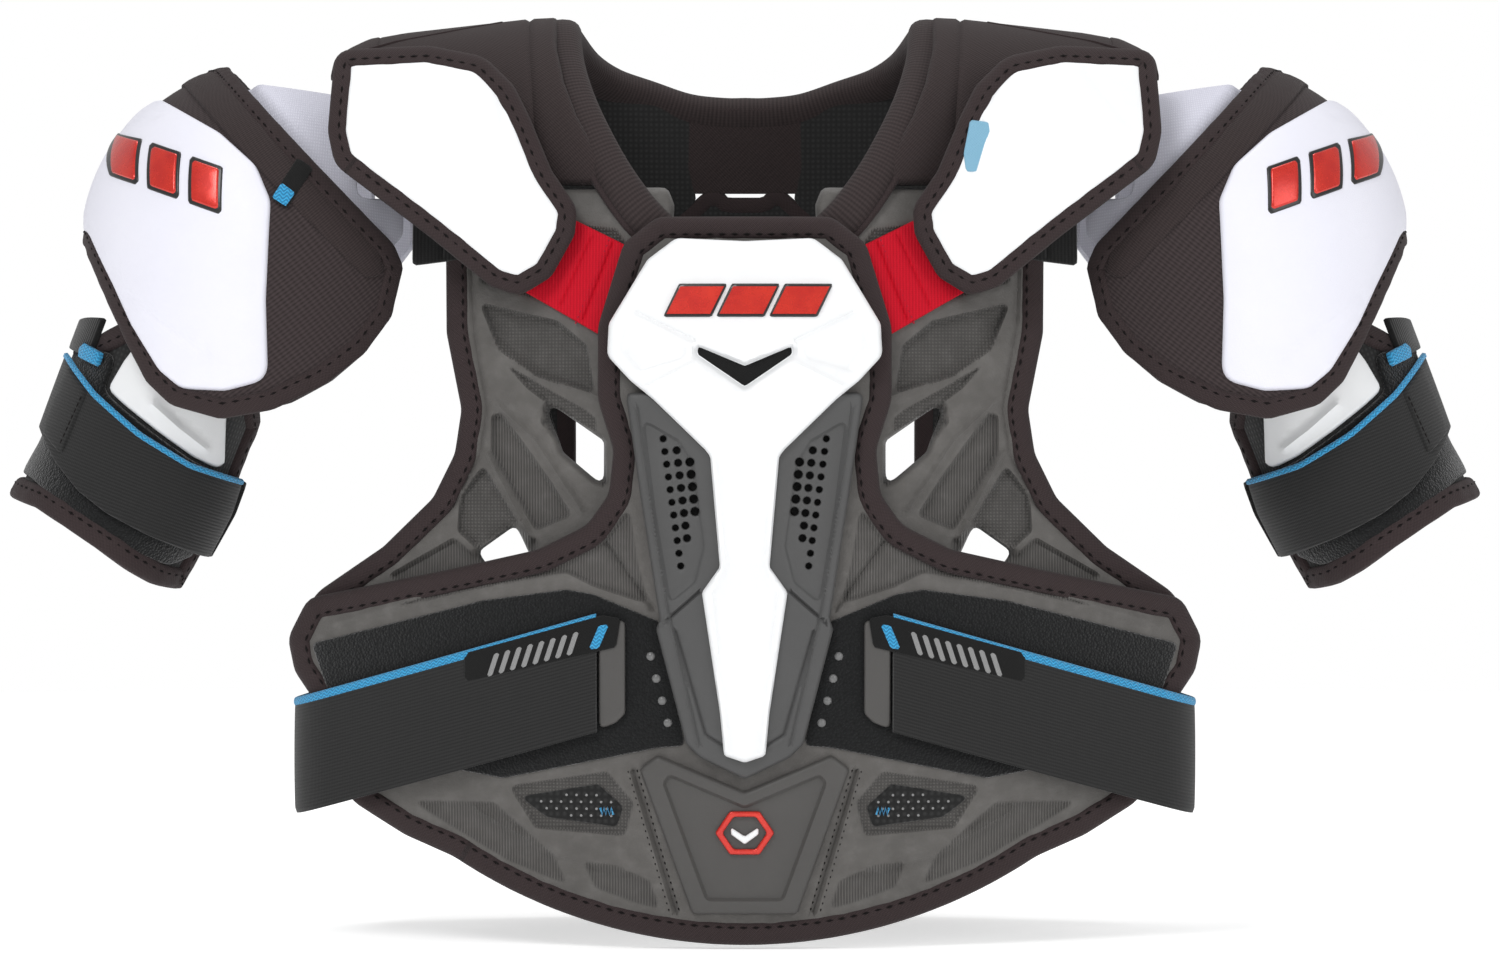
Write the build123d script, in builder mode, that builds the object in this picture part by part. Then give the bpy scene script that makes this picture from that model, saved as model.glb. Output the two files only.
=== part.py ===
"""Senior hockey shoulder pads, as worn.  Millimetres, +Z up, +Y to the wearer's back, +X to the left.

The origin is midway between the two shoulder arches, near the height at which they rest on the shoulders.
A vest of moulded foam, with an arch over each shoulder, carries a floating sternum guard, two floating
clavicle guards, two shoulder caps that turn with the arms, a biceps guard under each cap, and elastic
straps that open at their hook tabs.  Each piece of a pair is built on the wearer's left and mirrored.
"""

from build123d import *
from math import cos, radians, sin, sqrt
import os

# ---- Driving dimensions -------------------------------------------------------------------------
BIG = 400.0                # more than the vest's half width or height

# Front and back of the vest follow two upright barrels, whose sides bulge most at BULGE_Z.
WALL_RADIUS = 330.0        # of the wall's inner face at the bulge
WALL_AXIS = 235.0          # from the mid plane to the barrel's axis
BULGE_RADIUS = 900.0
BULGE_Z = -230.0
WALL_TOP, WALL_FOOT = 60.0, -400.0

# Layers on a wall, as distances out from its inner face.  0.4 mm stays free between neighbours.
FOAM = (0.0, 11.0)
CENTRE = (11.4, 20.6)
ELASTIC = (11.4, 13.2)
SPINE_PLATE = (11.4, 15.0)
PATCH = (21.0, 22.4)
RIVET = (22.5, 23.8)
BELLY = (21.0, 24.6)
STRAP = (23.0, 25.6)
CARRIER = (23.4, 27.4)
CAP_PLATE = (27.8, 31.6)
EMBLEM = (31.7, 33.6)

# Shoulder arches: half cones that shrink towards the arm.
ARCH_IN_X, ARCH_IN_Z, ARCH_IN_R = 30.0, -53.0, 92.6
ARCH_OUT_X, ARCH_OUT_Z, ARCH_OUT_R = 168.0, -33.0, 57.0
ARCH_FOOT = -47.0
ARCH_WALL = (0.0, 11.0)    # as distances in from the cone's outer face
COLLAR_WALL = (-1.0, 13.0)
FLAP_X, FLAP_Z, FLAP_R = 186.5, -73.0, 88.0   # the arch's outer flap ends in a wider, lower round
FLAP_WALL = (0.0, 4.5)
FLAP_FOOT = 5.0

# Clavicle guards: a half round over the shoulder that runs straight down in front.
CLAVICLE_Z = -46.0
CLAVICLE_PAD = (87.6, 93.6)
CLAVICLE_SHELL = (94.0, 97.0)
BINDING = 6.0              # width of the pad's rim that the shell leaves bare

# Shoulder caps: a dome about the shoulder joint that runs on as a round wall along the arm.
JOINT = Vector(214, 0, -73)
BRIDGE = (75.0, 80.0)
CAP_LINER = (80.5, 84.0)
CAP_SHELL = (84.3, 88.0)
CAP_GUSSET = (84.3, 86.2)
CAP_RUN = 110.0
CAP_ANGLE = radians(8)     # the round wall's lean out from straight down

# Biceps guards: an oval tube along the upper arm, whose lower end leans further out.
ARM_ANGLE = radians(21)    # out from straight down
GUARD_MIDDLE = Vector(275, 0, -168)
GUARD_SPAN = (-85.0, 8.0, 75.0)   # upper end, bend and lower end, as distances along the arm
LEAN = 10.0                # how far out the lower end's middle lies
OVAL_EXTRA = 9.0           # the oval is this much deeper than wide, on each side
GUARD_LINER = (38.0, 43.4)
GUARD_SHELL = (43.8, 46.2)
GUARD_PATCH = (43.8, 45.2)
GUARD_STRAP = (46.6, 49.0)
REAR_OPENING = (-14.0, -6.0)      # the sleeve is open behind, inward of these places out and forward
PATCH_START = 10.0                # the loop field starts this far out behind
ADJUSTER_FORWARD = (14.0, 40.0)   # the adjuster's two edges, as places forward of the arm's middle
STRAP_GAP = 0.4                   # between the strap's sewn half and its free half

# Body straps: wide elastic round the wearer's sides.
STRAP_END_X, STRAP_SIDE_X = 64.0, 184.0
STRAP_REAR = (172.0, 62.0)
SIDE_BEND, SIDE_TURN = 34.0, 75

# Corner radii of the outlines.
FOAM_CORNER, VENT_CORNER, PATCH_CORNER = 4.0, 3.0, 2.0
CLAVICLE_CORNER, CAP_CORNER, SHELL_CORNER = 7.0, 5.0, 6.0


def lean_plane(origin, angle):
    """A plane across a line that leans out from straight down by an angle."""
    return Plane(origin=origin, x_dir=(cos(angle), 0, sin(angle)), z_dir=(sin(angle), 0, -cos(angle)))


JOINT_PLANE = lean_plane(JOINT, CAP_ANGLE)
GUARD_PLANE = lean_plane(GUARD_MIDDLE, ARM_ANGLE)


# ---- Outlines, seen from the front as (X, Z), on the wearer's left --------------------------------
SIDE_PANEL = [(132, -48), (131, -112), (124, -146), (127, -166), (137, -186), (160, -208), (193, -230),
              (200, -250), (150, -262), (60, -240), (42, -200), (42, -71), (32, -69), (31, -56), (34, -48)]
CHEST_VENT = [(88, -142), (62, -160), (62, -180), (80, -165)]
WING_VENT = [(118, -209), (101, -197), (94, -212), (110, -220)]
STERNUM_LINER = [(30, -72), (40, -84), (40, -212), (12, -220)]
CENTRE_EDGE = [(38, -63), (52, -74), (63, -110), (63, -142), (56, -164), (58, -184), (68, -198),
               (90, -209), (130, -218), (194, -231), (203, -248), (200, -262), (190, -276), (183, -308),
               (172, -320), (150, -333), (128, -342)]
CENTRE_HEM = (0, -379.5)
BELLY_EDGE = [(0, -313), (38, -297), (46, -303), (23, -367), (0, -367)]
BELLY_VENT = [(99, -316), (64, -310), (53, -320), (56, -329), (87, -325)]
LOOP_PATCH = [(193, -250), (115, -230), (78, -225), (66, -227), (37, -239), (26, -293), (38, -294),
              (106, -308), (136, -303), (180, -286)]
STERNUM_ELASTIC = [(53.5, -78), (78, -61), (101, -92), (68, -115)]
CAP_TETHER = [(120, -53), (148, -56), (148, -82), (120, -79)]

CARRIER_EDGE = [(0, -142), (40, -139), (52, -139), (45.6, -183), (37, -238), (38.6, -242), (25.6, -292),
                (19.5, -298), (0, -307.5)]
BACKING_EDGE = [(0, -77), (28, -75.5), (38, -84), (54, -110), (54, -121), (45, -133), (0, -138)]
STERNUM_EDGE = [(0, -73), (30, -71.6), (42.4, -81), (59.3, -109), (60, -123), (49.8, -134), (40, -142),
                (17.3, -164), (15, -167), (10.8, -215), (18.6, -226), (10.8, -278), (9, -297), (0, -300)]
STERNUM_SLOT = [(20.5, -119), (0, -127.6), (-20.5, -119), (-20.5, -122.5), (0, -136.5), (20.5, -122.5)]
BAR, BAR_PITCH, BAR_COUNT = [(-34, -105), (-28, -93), (-9, -93), (-15, -105)], 23.0, 3
HOLE_RADIUS, HOLE_ROWS, HOLE_PITCH, HOLE_SLANT = 1.8, 8, 5.2, 0.8
HOLE_COLUMNS = [(24.5, -170), (30.0, -165), (35.5, -160)]
RIVET_RADIUS, RIVET_TOP, RIVET_STEP, RIVET_COUNT = 2.2, (41.0, -254.0), (-2.5, -9.67), 4

NECK_FRONT = [(86, 60), (86, 18), (80, -8), (71, -32), (62, ARCH_FOOT)]
NECK_INNER = [(48, ARCH_FOOT), (58, -32), (68, -12), (75, 14), (75, 60)]
NECK_BACK_X = (75, 86)
CLAVICLE_EDGE = [(179, -38), (182, -24), (180, 12), (140, 14), (116, 9), (103, -4), (96, -18), (86, -42),
                 (75, -58), (76, -69), (86, -87), (99, -95), (111, -91), (138, -69)]
CAP_EDGE = [(252, 40), (241, 16), (198, -30), (157, -73), (153, -82), (158, -104), (169, -120), (186, -134),
            (208, -145), (231, -149), (253, -143), (264, -133), (273, -117), (283, -98), (298, -70),
            (312, -58), (330, -54), (330, 40)]
CAP_SHELL_EDGE = [(300, 16), (266, -4), (233, -23), (216, -38), (209, -54), (211, -98), (210, -133),
                  (229, -138), (249, -137), (259, -129), (272, -109), (281, -91), (294, -68), (312, -52),
                  (330, -52), (330, 16)]
CAP_NOTCH = [(241.1, 17), (204, -26), (167, -70), (162, -81), (168, -103), (179, -117), (195, -130),
             (214, -140), (233, -144), (252, -142), (252, -160), (140, -160), (140, 17)]
BRIDGE_EDGE = [(168.4, 40), (168.4, -49.5), (147, -49.5), (147, -68), (162, -86), (176, -80), (222, -28),
               (250, 10), (250, 40)]

BACK_PANEL = [(26, -4), (48, 3), (74.6, 8), (74.6, -48), (134, -48), (134, -110), (128, -165),
              (108, -195), (81, -195), (81, -130), (60, -106), (60, -74), (38, -58), (26, -47)]
NECK_BRIDGE = [(25.6, -4), (25.6, -42.5), (-25.6, -42.5), (-25.6, -4)]
SPINE_PAD = [(0, -46), (9, -46), (11, -43), (18, -43), (33, -56), (52, -104), (60, -130), (58, -196),
             (0, -196)]
SPINE_SHIELD = [(0, -70), (16, -76), (30, -120), (34, -190), (0, -194)]
LUMBAR_EDGE = [(60, -198), (104, -214), (164, -262), (167, -326), (110, -344)]
LUMBAR_HEM = (0, -352)
STRAP_ANCHOR = [(140, -279), (164, -279), (164, -321), (140, -321)]

GUARD_LINER_EDGE = [(228, -98), (258, -98), (290, -114), (345, -114), (345, -178), (332, -184),
                    (317, -188.5), (303, -197), (289, -206.5), (276, -216.5), (266, -223), (257, -225.5),
                    (249, -222.5), (241, -213.5), (232, -196), (226, -177), (222, -146), (221, -110)]
GUARD_SHELL_EDGE = [(256, -100), (268, -111), (278, -124), (285.4, -136.5), (278, -143), (262, -155.5),
                    (246.5, -167), (234, -174), (232, -147), (229, -106)]
GUARD_PATCH_EDGE = [(345, -116), (300, -116), (281.5, -121), (287.5, -136.9), (278.8, -144.6),
                    (262.8, -157.1), (247.2, -168.6), (236, -174.9), (236, -195.3), (246, -210), (259, -216),
                    (276, -208), (289, -200), (306, -187.5), (322, -176), (345, -168)]
GUARD_STRAP_EDGE = [(306, -122), (291, -139), (270, -157), (248, -171), (215, -183), (215, -216),
                    (244, -212.5), (266.6, -202), (284.5, -192), (298, -181.7), (309, -169), (319, -154),
                    (335, -138), (335, -104)]
GUARD_ADJUSTER_EDGE = [(330, -104), (330, -111), (303, -119), (286, -127), (286, -104)]

BODY_STRAP = [(STRAP_END_X, -236), (203, -276), (260, -280), (260, -330), (203, -327), (STRAP_END_X, -287)]
STRAP_TAB = [(52, -238), (63.6, -240), (63.6, -286), (56, -283), (52, -279)]


# ---- Helpers that shape the part being built ----------------------------------------------------
def both_sides(half):
    """A half outline, given from its top to its foot, with its mirror image in front."""
    return [(-x, z) for x, z in reversed(half) if x > 0] + half


def wall_radius(z, out):
    """Radius of the barrel at height z, for the face that lies `out` from the inner one."""
    return WALL_RADIUS - BULGE_RADIUS + sqrt((BULGE_RADIUS + out) ** 2 - (z - BULGE_Z) ** 2)


def add_wall(layer, side=1):
    """Add one layer of the front wall, or of the back wall when side is -1."""
    inner, outer = layer
    axis_y = WALL_AXIS * side
    with BuildSketch(Plane(origin=(0, axis_y, 0), x_dir=(1, 0, 0), z_dir=(0, -1, 0))) as section:
        with BuildLine():
            outside = [(wall_radius(z, outer), z) for z in (WALL_FOOT, BULGE_Z, WALL_TOP)]
            inside = [(wall_radius(z, inner), z) for z in (WALL_TOP, BULGE_Z, WALL_FOOT)]
            ThreePointArc(*outside)
            Line(outside[-1], inside[0])
            ThreePointArc(*inside)
            Line(inside[-1], outside[0])
        make_face()
    revolve(section.sketch, axis=Axis((0, axis_y, 0), (0, 0, 1)))


def trim(points, corner=0.0, hem=None, rear=0.0, front=BIG, mode=Mode.INTERSECT):
    """Keep what lies within an outline seen from the front, or cut it away.

    Corners are rounded by `corner`.  `hem` is a point of the arc that closes the outline.  The trimmed
    stretch runs from `rear` (+Y) to `front` (-Y).
    """
    with BuildSketch(Plane.XZ.offset(-rear)) as outline:
        with BuildLine():
            if hem:
                Polyline(*points)
                ThreePointArc(points[-1], hem, points[0])
            else:
                Polyline(*points, close=True)
        make_face()
        if corner:
            fillet(outline.vertices(), corner)
    extrude(outline.sketch, amount=rear + front, mode=mode)


def trim_round(centres, radius, mode):
    """Keep or cut away round spots, seen from the front."""
    with BuildSketch(Plane.XZ) as spots:
        with Locations(*centres):
            Circle(radius)
    extrude(spots.sketch, amount=BIG, mode=mode)


def add_dome(layer):
    """Add one layer of the shoulder cap: half a ball that runs on as a tube along the arm."""
    inner, outer = layer
    for radius, run, mode in ((outer, CAP_RUN, Mode.ADD), (inner, CAP_RUN + 1, Mode.SUBTRACT)):
        with Locations(Location(JOINT)):
            Sphere(radius, mode=mode)
        with BuildSketch(JOINT_PLANE) as disc:
            Circle(radius)
        extrude(disc.sketch, amount=run, mode=mode)


def add_sleeve(layer):
    """Add one layer of the oval tube round the arm."""
    top, bend, foot = GUARD_SPAN
    for radius, mode in ((layer[1], Mode.ADD), (layer[0], Mode.SUBTRACT)):
        ends = []
        for along, out in ((top, 0), (bend, 0), (foot, LEAN)):
            with BuildSketch(GUARD_PLANE.offset(along)) as oval:
                with Locations((out, 0)):
                    Ellipse(radius, radius + OVAL_EXTRA)
            ends.append(oval.sketch)
        loft(ends[:2], mode=mode)
        loft(ends[1:], mode=mode)


def trim_sleeve(outward, forward, mode):
    """Keep or cut away a block that runs along the arm: its ranges outward and forward."""
    with BuildSketch(GUARD_PLANE.offset(-BIG / 2)) as block:
        with Locations(((outward[0] + outward[1]) / 2, (forward[0] + forward[1]) / 2)):
            Rectangle(outward[1] - outward[0], forward[1] - forward[0])
    extrude(block.sketch, amount=BIG, mode=mode)


def add_arch(layer):
    """Add one layer of the shoulder arch's cone, from its foot up."""
    for shrink, mode in ((layer[0], Mode.ADD), (layer[1], Mode.SUBTRACT)):
        with BuildSketch(Plane.YZ.offset(ARCH_IN_X)) as inner_end:
            with Locations((0, ARCH_IN_Z)):
                Circle(ARCH_IN_R - shrink)
        with BuildSketch(Plane.YZ.offset(ARCH_OUT_X)) as outer_end:
            with Locations((0, ARCH_OUT_Z)):
                Circle(ARCH_OUT_R - shrink)
        loft([inner_end.sketch, outer_end.sketch], mode=mode)
    trim([(0, ARCH_FOOT), (BIG, ARCH_FOOT), (BIG, BIG), (0, BIG)], rear=BIG)


def add_half_round(layer):
    """Add a wall that goes over the shoulder in a half round and straight down in front and behind."""
    with BuildSketch(Plane.YZ) as section:
        for radius, mode in ((layer[1], Mode.ADD), (layer[0], Mode.SUBTRACT)):
            with Locations((0, CLAVICLE_Z)):
                Circle(radius, mode=mode)
            with Locations((0, CLAVICLE_Z - BIG / 2)):
                Rectangle(2 * radius, BIG, mode=mode)
    extrude(section.sketch, amount=BIG)


def front_y(x, out):
    """Y of the front wall's face that lies `out` from the inner one, at the bulge."""
    return WALL_AXIS - sqrt((WALL_RADIUS + out) ** 2 - x ** 2)


# ---- Writing ------------------------------------------------------------------------------------
os.makedirs("parts", exist_ok=True)


def write(part, name):
    """Label one piece and write it."""
    part.label = name
    export_step(part, f"parts/{name}.step")


def write_pair(part, name):
    """Write the piece on the wearer's left, and its mirror image on the right."""
    write(part, f"{name}_left")
    write(mirror(part, about=Plane.YZ), f"{name}_right")


# ---- Vest, front --------------------------------------------------------------------------------
# Upper chest: moulded foam beside the sternum, shaped round the arm and pierced by two vents.
with BuildPart() as side_panel:
    add_wall(FOAM)
    trim(SIDE_PANEL, corner=FOAM_CORNER)
    trim(CHEST_VENT, corner=VENT_CORNER, mode=Mode.SUBTRACT)
    trim(WING_VENT, corner=VENT_CORNER, mode=Mode.SUBTRACT)
write_pair(side_panel.part, "side_panel")

# Comfort foam behind the sternum, between the two side panels.
with BuildPart() as sternum_liner:
    add_wall(FOAM)
    trim(both_sides(STERNUM_LINER), corner=FOAM_CORNER)
write(sternum_liner.part, "sternum_liner")

# Foam panel under the sternum guard, with a wing to each side and the belly below.
with BuildPart() as centre_panel:
    add_wall(CENTRE)
    trim(both_sides(CENTRE_EDGE), corner=FOAM_CORNER, hem=CENTRE_HEM)
write(centre_panel.part, "centre_panel")

# Moulded shield on the belly, notched for the sternum guard's tip.
with BuildPart() as belly_plate:
    add_wall(BELLY)
    trim(both_sides(BELLY_EDGE))
write(belly_plate.part, "belly_plate")

# Perforated mesh window beside the shield.
with BuildPart() as belly_vent:
    add_wall(PATCH)
    trim(BELLY_VENT, corner=PATCH_CORNER)
write_pair(belly_vent.part, "belly_vent")

# Loop field on the wing, for the body strap's hook tab.
with BuildPart() as loop_patch:
    add_wall(PATCH)
    trim(LOOP_PATCH, corner=PATCH_CORNER)
write_pair(loop_patch.part, "loop_patch")

# Rivets along the inner edges of the two loop fields.
with BuildPart() as loop_rivets:
    add_wall(RIVET)
    column = [(RIVET_TOP[0] + RIVET_STEP[0] * row, RIVET_TOP[1] + RIVET_STEP[1] * row)
              for row in range(RIVET_COUNT)]
    trim_round(both_sides(column), RIVET_RADIUS, Mode.INTERSECT)
write(loop_rivets.part, "loop_rivets")

# Elastic that ties the clavicle guard to the centre panel.
with BuildPart() as sternum_elastic:
    add_wall(ELASTIC)
    trim(STERNUM_ELASTIC)
write_pair(sternum_elastic.part, "sternum_elastic")

# Elastic from the chest to the shoulder cap's inner edge.
with BuildPart() as cap_tether:
    add_wall(ELASTIC)
    trim(CAP_TETHER)
write_pair(cap_tether.part, "cap_tether")

# ---- Sternum guard ------------------------------------------------------------------------------
# Soft grey moulding with breathing holes down each side.
with BuildPart() as sternum_carrier:
    add_wall(CARRIER)
    trim(both_sides(CARRIER_EDGE))
    holes = [(x - HOLE_SLANT * row, z - HOLE_PITCH * row)
             for x, z in HOLE_COLUMNS for row in range(HOLE_ROWS)]
    trim_round(both_sides(holes), HOLE_RADIUS, Mode.SUBTRACT)
write(sternum_carrier.part, "sternum_carrier")

# Foam behind the upper half of the breast plate.
with BuildPart() as sternum_backing:
    add_wall(CARRIER)
    trim(both_sides(BACKING_EDGE))
    trim(STERNUM_SLOT, mode=Mode.SUBTRACT)
write(sternum_backing.part, "sternum_backing")

# Hard white breast plate with a swallow-shaped vent.
with BuildPart() as sternum_cap:
    add_wall(CAP_PLATE)
    trim(both_sides(STERNUM_EDGE))
    trim(STERNUM_SLOT, mode=Mode.SUBTRACT)
write(sternum_cap.part, "sternum_cap")

# Three slanted bars that stand on the breast plate.
with BuildPart() as sternum_emblem:
    add_wall(EMBLEM)
    with BuildSketch(Plane.XZ) as bars:
        with Locations(*[(BAR_PITCH * place, 0) for place in range(BAR_COUNT)]):
            with BuildSketch(mode=Mode.PRIVATE) as bar:
                with BuildLine():
                    Polyline(*BAR, close=True)
                make_face()
            add(bar.sketch)
    extrude(bars.sketch, amount=BIG, mode=Mode.INTERSECT)
write(sternum_emblem.part, "sternum_emblem")

# ---- Shoulders ----------------------------------------------------------------------------------
# Flap at the arch's outer end, over the fabric bridge.
with BuildPart() as arch_flap:
    for shrink, mode in ((FLAP_WALL[0], Mode.ADD), (FLAP_WALL[1], Mode.SUBTRACT)):
        with BuildSketch(Plane.YZ.offset(ARCH_OUT_X)) as near_end:
            with Locations((0, ARCH_OUT_Z)):
                Circle(ARCH_OUT_R - shrink)
        with BuildSketch(Plane.YZ.offset(FLAP_X)) as far_end:
            with Locations((0, FLAP_Z)):
                Circle(FLAP_R - shrink)
        loft([near_end.sketch, far_end.sketch], mode=mode)
    trim([(0, FLAP_FOOT), (BIG, FLAP_FOOT), (BIG, BIG), (0, BIG)], rear=BIG)

# Padded yoke over the shoulder that joins the front to the back.  Its neck edge slants in at the front.
with BuildPart() as shoulder_arch:
    add_arch(ARCH_WALL)
    add(arch_flap.part)
    trim(NECK_FRONT + [(0, ARCH_FOOT), (0, 60)], mode=Mode.SUBTRACT)
    trim([(0, -BIG), (NECK_BACK_X[1], -BIG), (NECK_BACK_X[1], BIG), (0, BIG)], rear=BIG, front=0,
         mode=Mode.SUBTRACT)
write_pair(shoulder_arch.part, "shoulder_arch")

# Ribbed neck edge along the arch, front and back.
with BuildPart() as collar_front:
    add_arch(COLLAR_WALL)
    trim(NECK_FRONT + NECK_INNER)
with BuildPart() as collar:
    add_arch(COLLAR_WALL)
    trim([(NECK_BACK_X[0], -BIG), (NECK_BACK_X[1], -BIG), (NECK_BACK_X[1], BIG), (NECK_BACK_X[0], BIG)],
         rear=BIG, front=0)
    add(collar_front.part)
write_pair(collar.part, "collar")

# Clavicle guard: a bound pad, and the hard shell inside its rim.
with BuildPart() as clavicle_pad:
    add_half_round(CLAVICLE_PAD)
    trim(CLAVICLE_EDGE, corner=CLAVICLE_CORNER)
write_pair(clavicle_pad.part, "clavicle_pad")

with BuildPart() as clavicle_shell:
    add_half_round(CLAVICLE_SHELL)
    with BuildSketch(Plane.XZ) as rimmed:
        with BuildLine():
            Polyline(*CLAVICLE_EDGE, close=True)
        make_face()
        fillet(rimmed.vertices(), CLAVICLE_CORNER)
        offset(amount=-BINDING, kind=Kind.INTERSECTION, mode=Mode.REPLACE)
    extrude(rimmed.sketch, amount=BIG, mode=Mode.INTERSECT)
write_pair(clavicle_shell.part, "clavicle_shell")

# Fabric bridge that the shoulder cap slides over.
with BuildPart() as cap_bridge:
    add_dome(BRIDGE)
    trim(BRIDGE_EDGE, rear=BIG)
write_pair(cap_bridge.part, "cap_bridge")

# ---- Shoulder caps ------------------------------------------------------------------------------
# Foam lining of the whole cap.  Its rear half is cut back a little at the neck side.
with BuildPart() as cap_liner:
    add_dome(CAP_LINER)
    trim(CAP_EDGE, corner=CAP_CORNER, rear=BIG)
    trim(CAP_NOTCH, rear=BIG, front=0, mode=Mode.SUBTRACT)
write_pair(cap_liner.part, "cap_liner")

# Hard shell on the outer half.
with BuildPart() as cap_shell:
    add_dome(CAP_SHELL)
    trim(CAP_SHELL_EDGE, corner=SHELL_CORNER, rear=BIG)
write_pair(cap_shell.part, "cap_shell")

# Twill gusset on the half that faces the neck.
with BuildPart() as cap_gusset:
    add_dome(CAP_GUSSET)
    trim(CAP_EDGE, corner=CAP_CORNER, rear=BIG)
    trim(CAP_NOTCH, rear=BIG, front=0, mode=Mode.SUBTRACT)
    trim(CAP_SHELL_EDGE, corner=SHELL_CORNER, rear=BIG, mode=Mode.SUBTRACT)
write_pair(cap_gusset.part, "cap_gusset")

# ---- Biceps guards ------------------------------------------------------------------------------
# Foam sleeve, open behind on the inside of the arm.
with BuildPart() as biceps_liner:
    add_sleeve(GUARD_LINER)
    trim(GUARD_LINER_EDGE, rear=BIG)
    trim_sleeve((-BIG, REAR_OPENING[0]), (-BIG, REAR_OPENING[1]), Mode.SUBTRACT)
write_pair(biceps_liner.part, "biceps_liner")

# Hard plate on the front of the sleeve.
with BuildPart() as biceps_shell:
    add_sleeve(GUARD_SHELL)
    trim(GUARD_SHELL_EDGE)
write_pair(biceps_shell.part, "biceps_shell")

# Loop field round the lower part of the sleeve.
with BuildPart() as biceps_patch:
    add_sleeve(GUARD_PATCH)
    trim(GUARD_PATCH_EDGE, rear=BIG)
    trim_sleeve((-BIG, PATCH_START), (-BIG, 0), Mode.SUBTRACT)
write_pair(biceps_patch.part, "biceps_patch")

# Ribbed elastic towards the outside of the sleeve that sets its height under the cap.
with BuildPart() as biceps_adjuster:
    add_sleeve(GUARD_STRAP)
    trim(GUARD_ADJUSTER_EDGE, rear=BIG)
    trim_sleeve((0, BIG), ADJUSTER_FORWARD, Mode.INTERSECT)
write_pair(biceps_adjuster.part, "biceps_adjuster")

# The strap's sewn half, which closes the sleeve behind.
with BuildPart() as biceps_band:
    add_sleeve(GUARD_STRAP)
    trim(GUARD_STRAP_EDGE, rear=BIG)
    trim_sleeve((-BIG, 0), (-BIG, 0), Mode.INTERSECT)
write_pair(biceps_band.part, "biceps_band")

# The strap's free half, drawn round the front to the outside, where its hook end grips.
with BuildPart() as biceps_strap:
    add_sleeve(GUARD_STRAP)
    trim(GUARD_STRAP_EDGE)
    trim_sleeve((-BIG, BIG), (STRAP_GAP, BIG), Mode.INTERSECT)
write_pair(biceps_strap.part, "biceps_strap")

# ---- Vest, back ---------------------------------------------------------------------------------
# Foam over the shoulder blade.
with BuildPart() as back_panel:
    add_wall(FOAM, side=-1)
    trim(BACK_PANEL, rear=BIG, front=0)
write_pair(back_panel.part, "back_panel")

# Yoke behind the neck, between the two back panels.
with BuildPart() as neck_bridge:
    add_wall(FOAM, side=-1)
    trim(NECK_BRIDGE, corner=PATCH_CORNER, rear=BIG, front=0)
write(neck_bridge.part, "neck_bridge")

# Foam down the spine.
with BuildPart() as spine_pad:
    add_wall(FOAM, side=-1)
    trim(both_sides(SPINE_PAD), rear=BIG, front=0)
write(spine_pad.part, "spine_pad")

# Hard shield on the spine pad.
with BuildPart() as spine_plate:
    add_wall(SPINE_PLATE, side=-1)
    trim(both_sides(SPINE_SHIELD), rear=BIG, front=0)
write(spine_plate.part, "spine_plate")

# Foam over the small of the back.
with BuildPart() as lumbar_panel:
    add_wall(FOAM, side=-1)
    trim(both_sides(LUMBAR_EDGE), hem=LUMBAR_HEM, corner=FOAM_CORNER, rear=BIG, front=0)
write(lumbar_panel.part, "lumbar_panel")

# ---- Body straps --------------------------------------------------------------------------------
# Sewn end of the body strap on the lumbar panel.
with BuildPart() as strap_anchor:
    add_wall(ELASTIC, side=-1)
    trim(STRAP_ANCHOR, rear=BIG, front=0)
write_pair(strap_anchor.part, "strap_anchor")

# Wide elastic from the back, round the side, to the chest.
with BuildPart() as body_strap:
    middle = (STRAP[0] + STRAP[1]) / 2
    half_x = (STRAP_END_X + STRAP_SIDE_X) / 2
    with BuildSketch(Plane.XY.offset(WALL_FOOT)):
        with BuildLine():
            front = ThreePointArc(*[(x, front_y(x, middle)) for x in (STRAP_END_X, half_x, STRAP_SIDE_X)])
            bend = JernArc(start=front @ 1, tangent=front % 1, radius=SIDE_BEND, arc_size=SIDE_TURN)
            Line(bend @ 1, STRAP_REAR)
        trace(line_width=STRAP[1] - STRAP[0])
    extrude(amount=-WALL_FOOT)
    trim(BODY_STRAP, rear=BIG)
write_pair(body_strap.part, "body_strap")

# Hook tab on the strap's free end.
with BuildPart() as strap_tab:
    add_wall(STRAP)
    trim(STRAP_TAB, corner=PATCH_CORNER)
write_pair(strap_tab.part, "strap_tab")
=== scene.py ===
"""Hockey shoulder pads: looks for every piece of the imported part.

Sizes are in millimetres in the part's own frame (+Z up, +Y to the back, +X to the wearer's left) until a
mesh is made.  Pieces are drawn flat as outlines and laid on a surface map: the barrel of the chest or back,
the arch over the shoulder, the dome of a shoulder cap, or the sleeve round an arm.  Pairs are built on +X
and mirrored.
"""
from math import cos, pi, radians, sin, sqrt

import bmesh
import bpy
import numpy as np
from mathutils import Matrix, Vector
from mathutils.geometry import delaunay_2d_cdt


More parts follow.
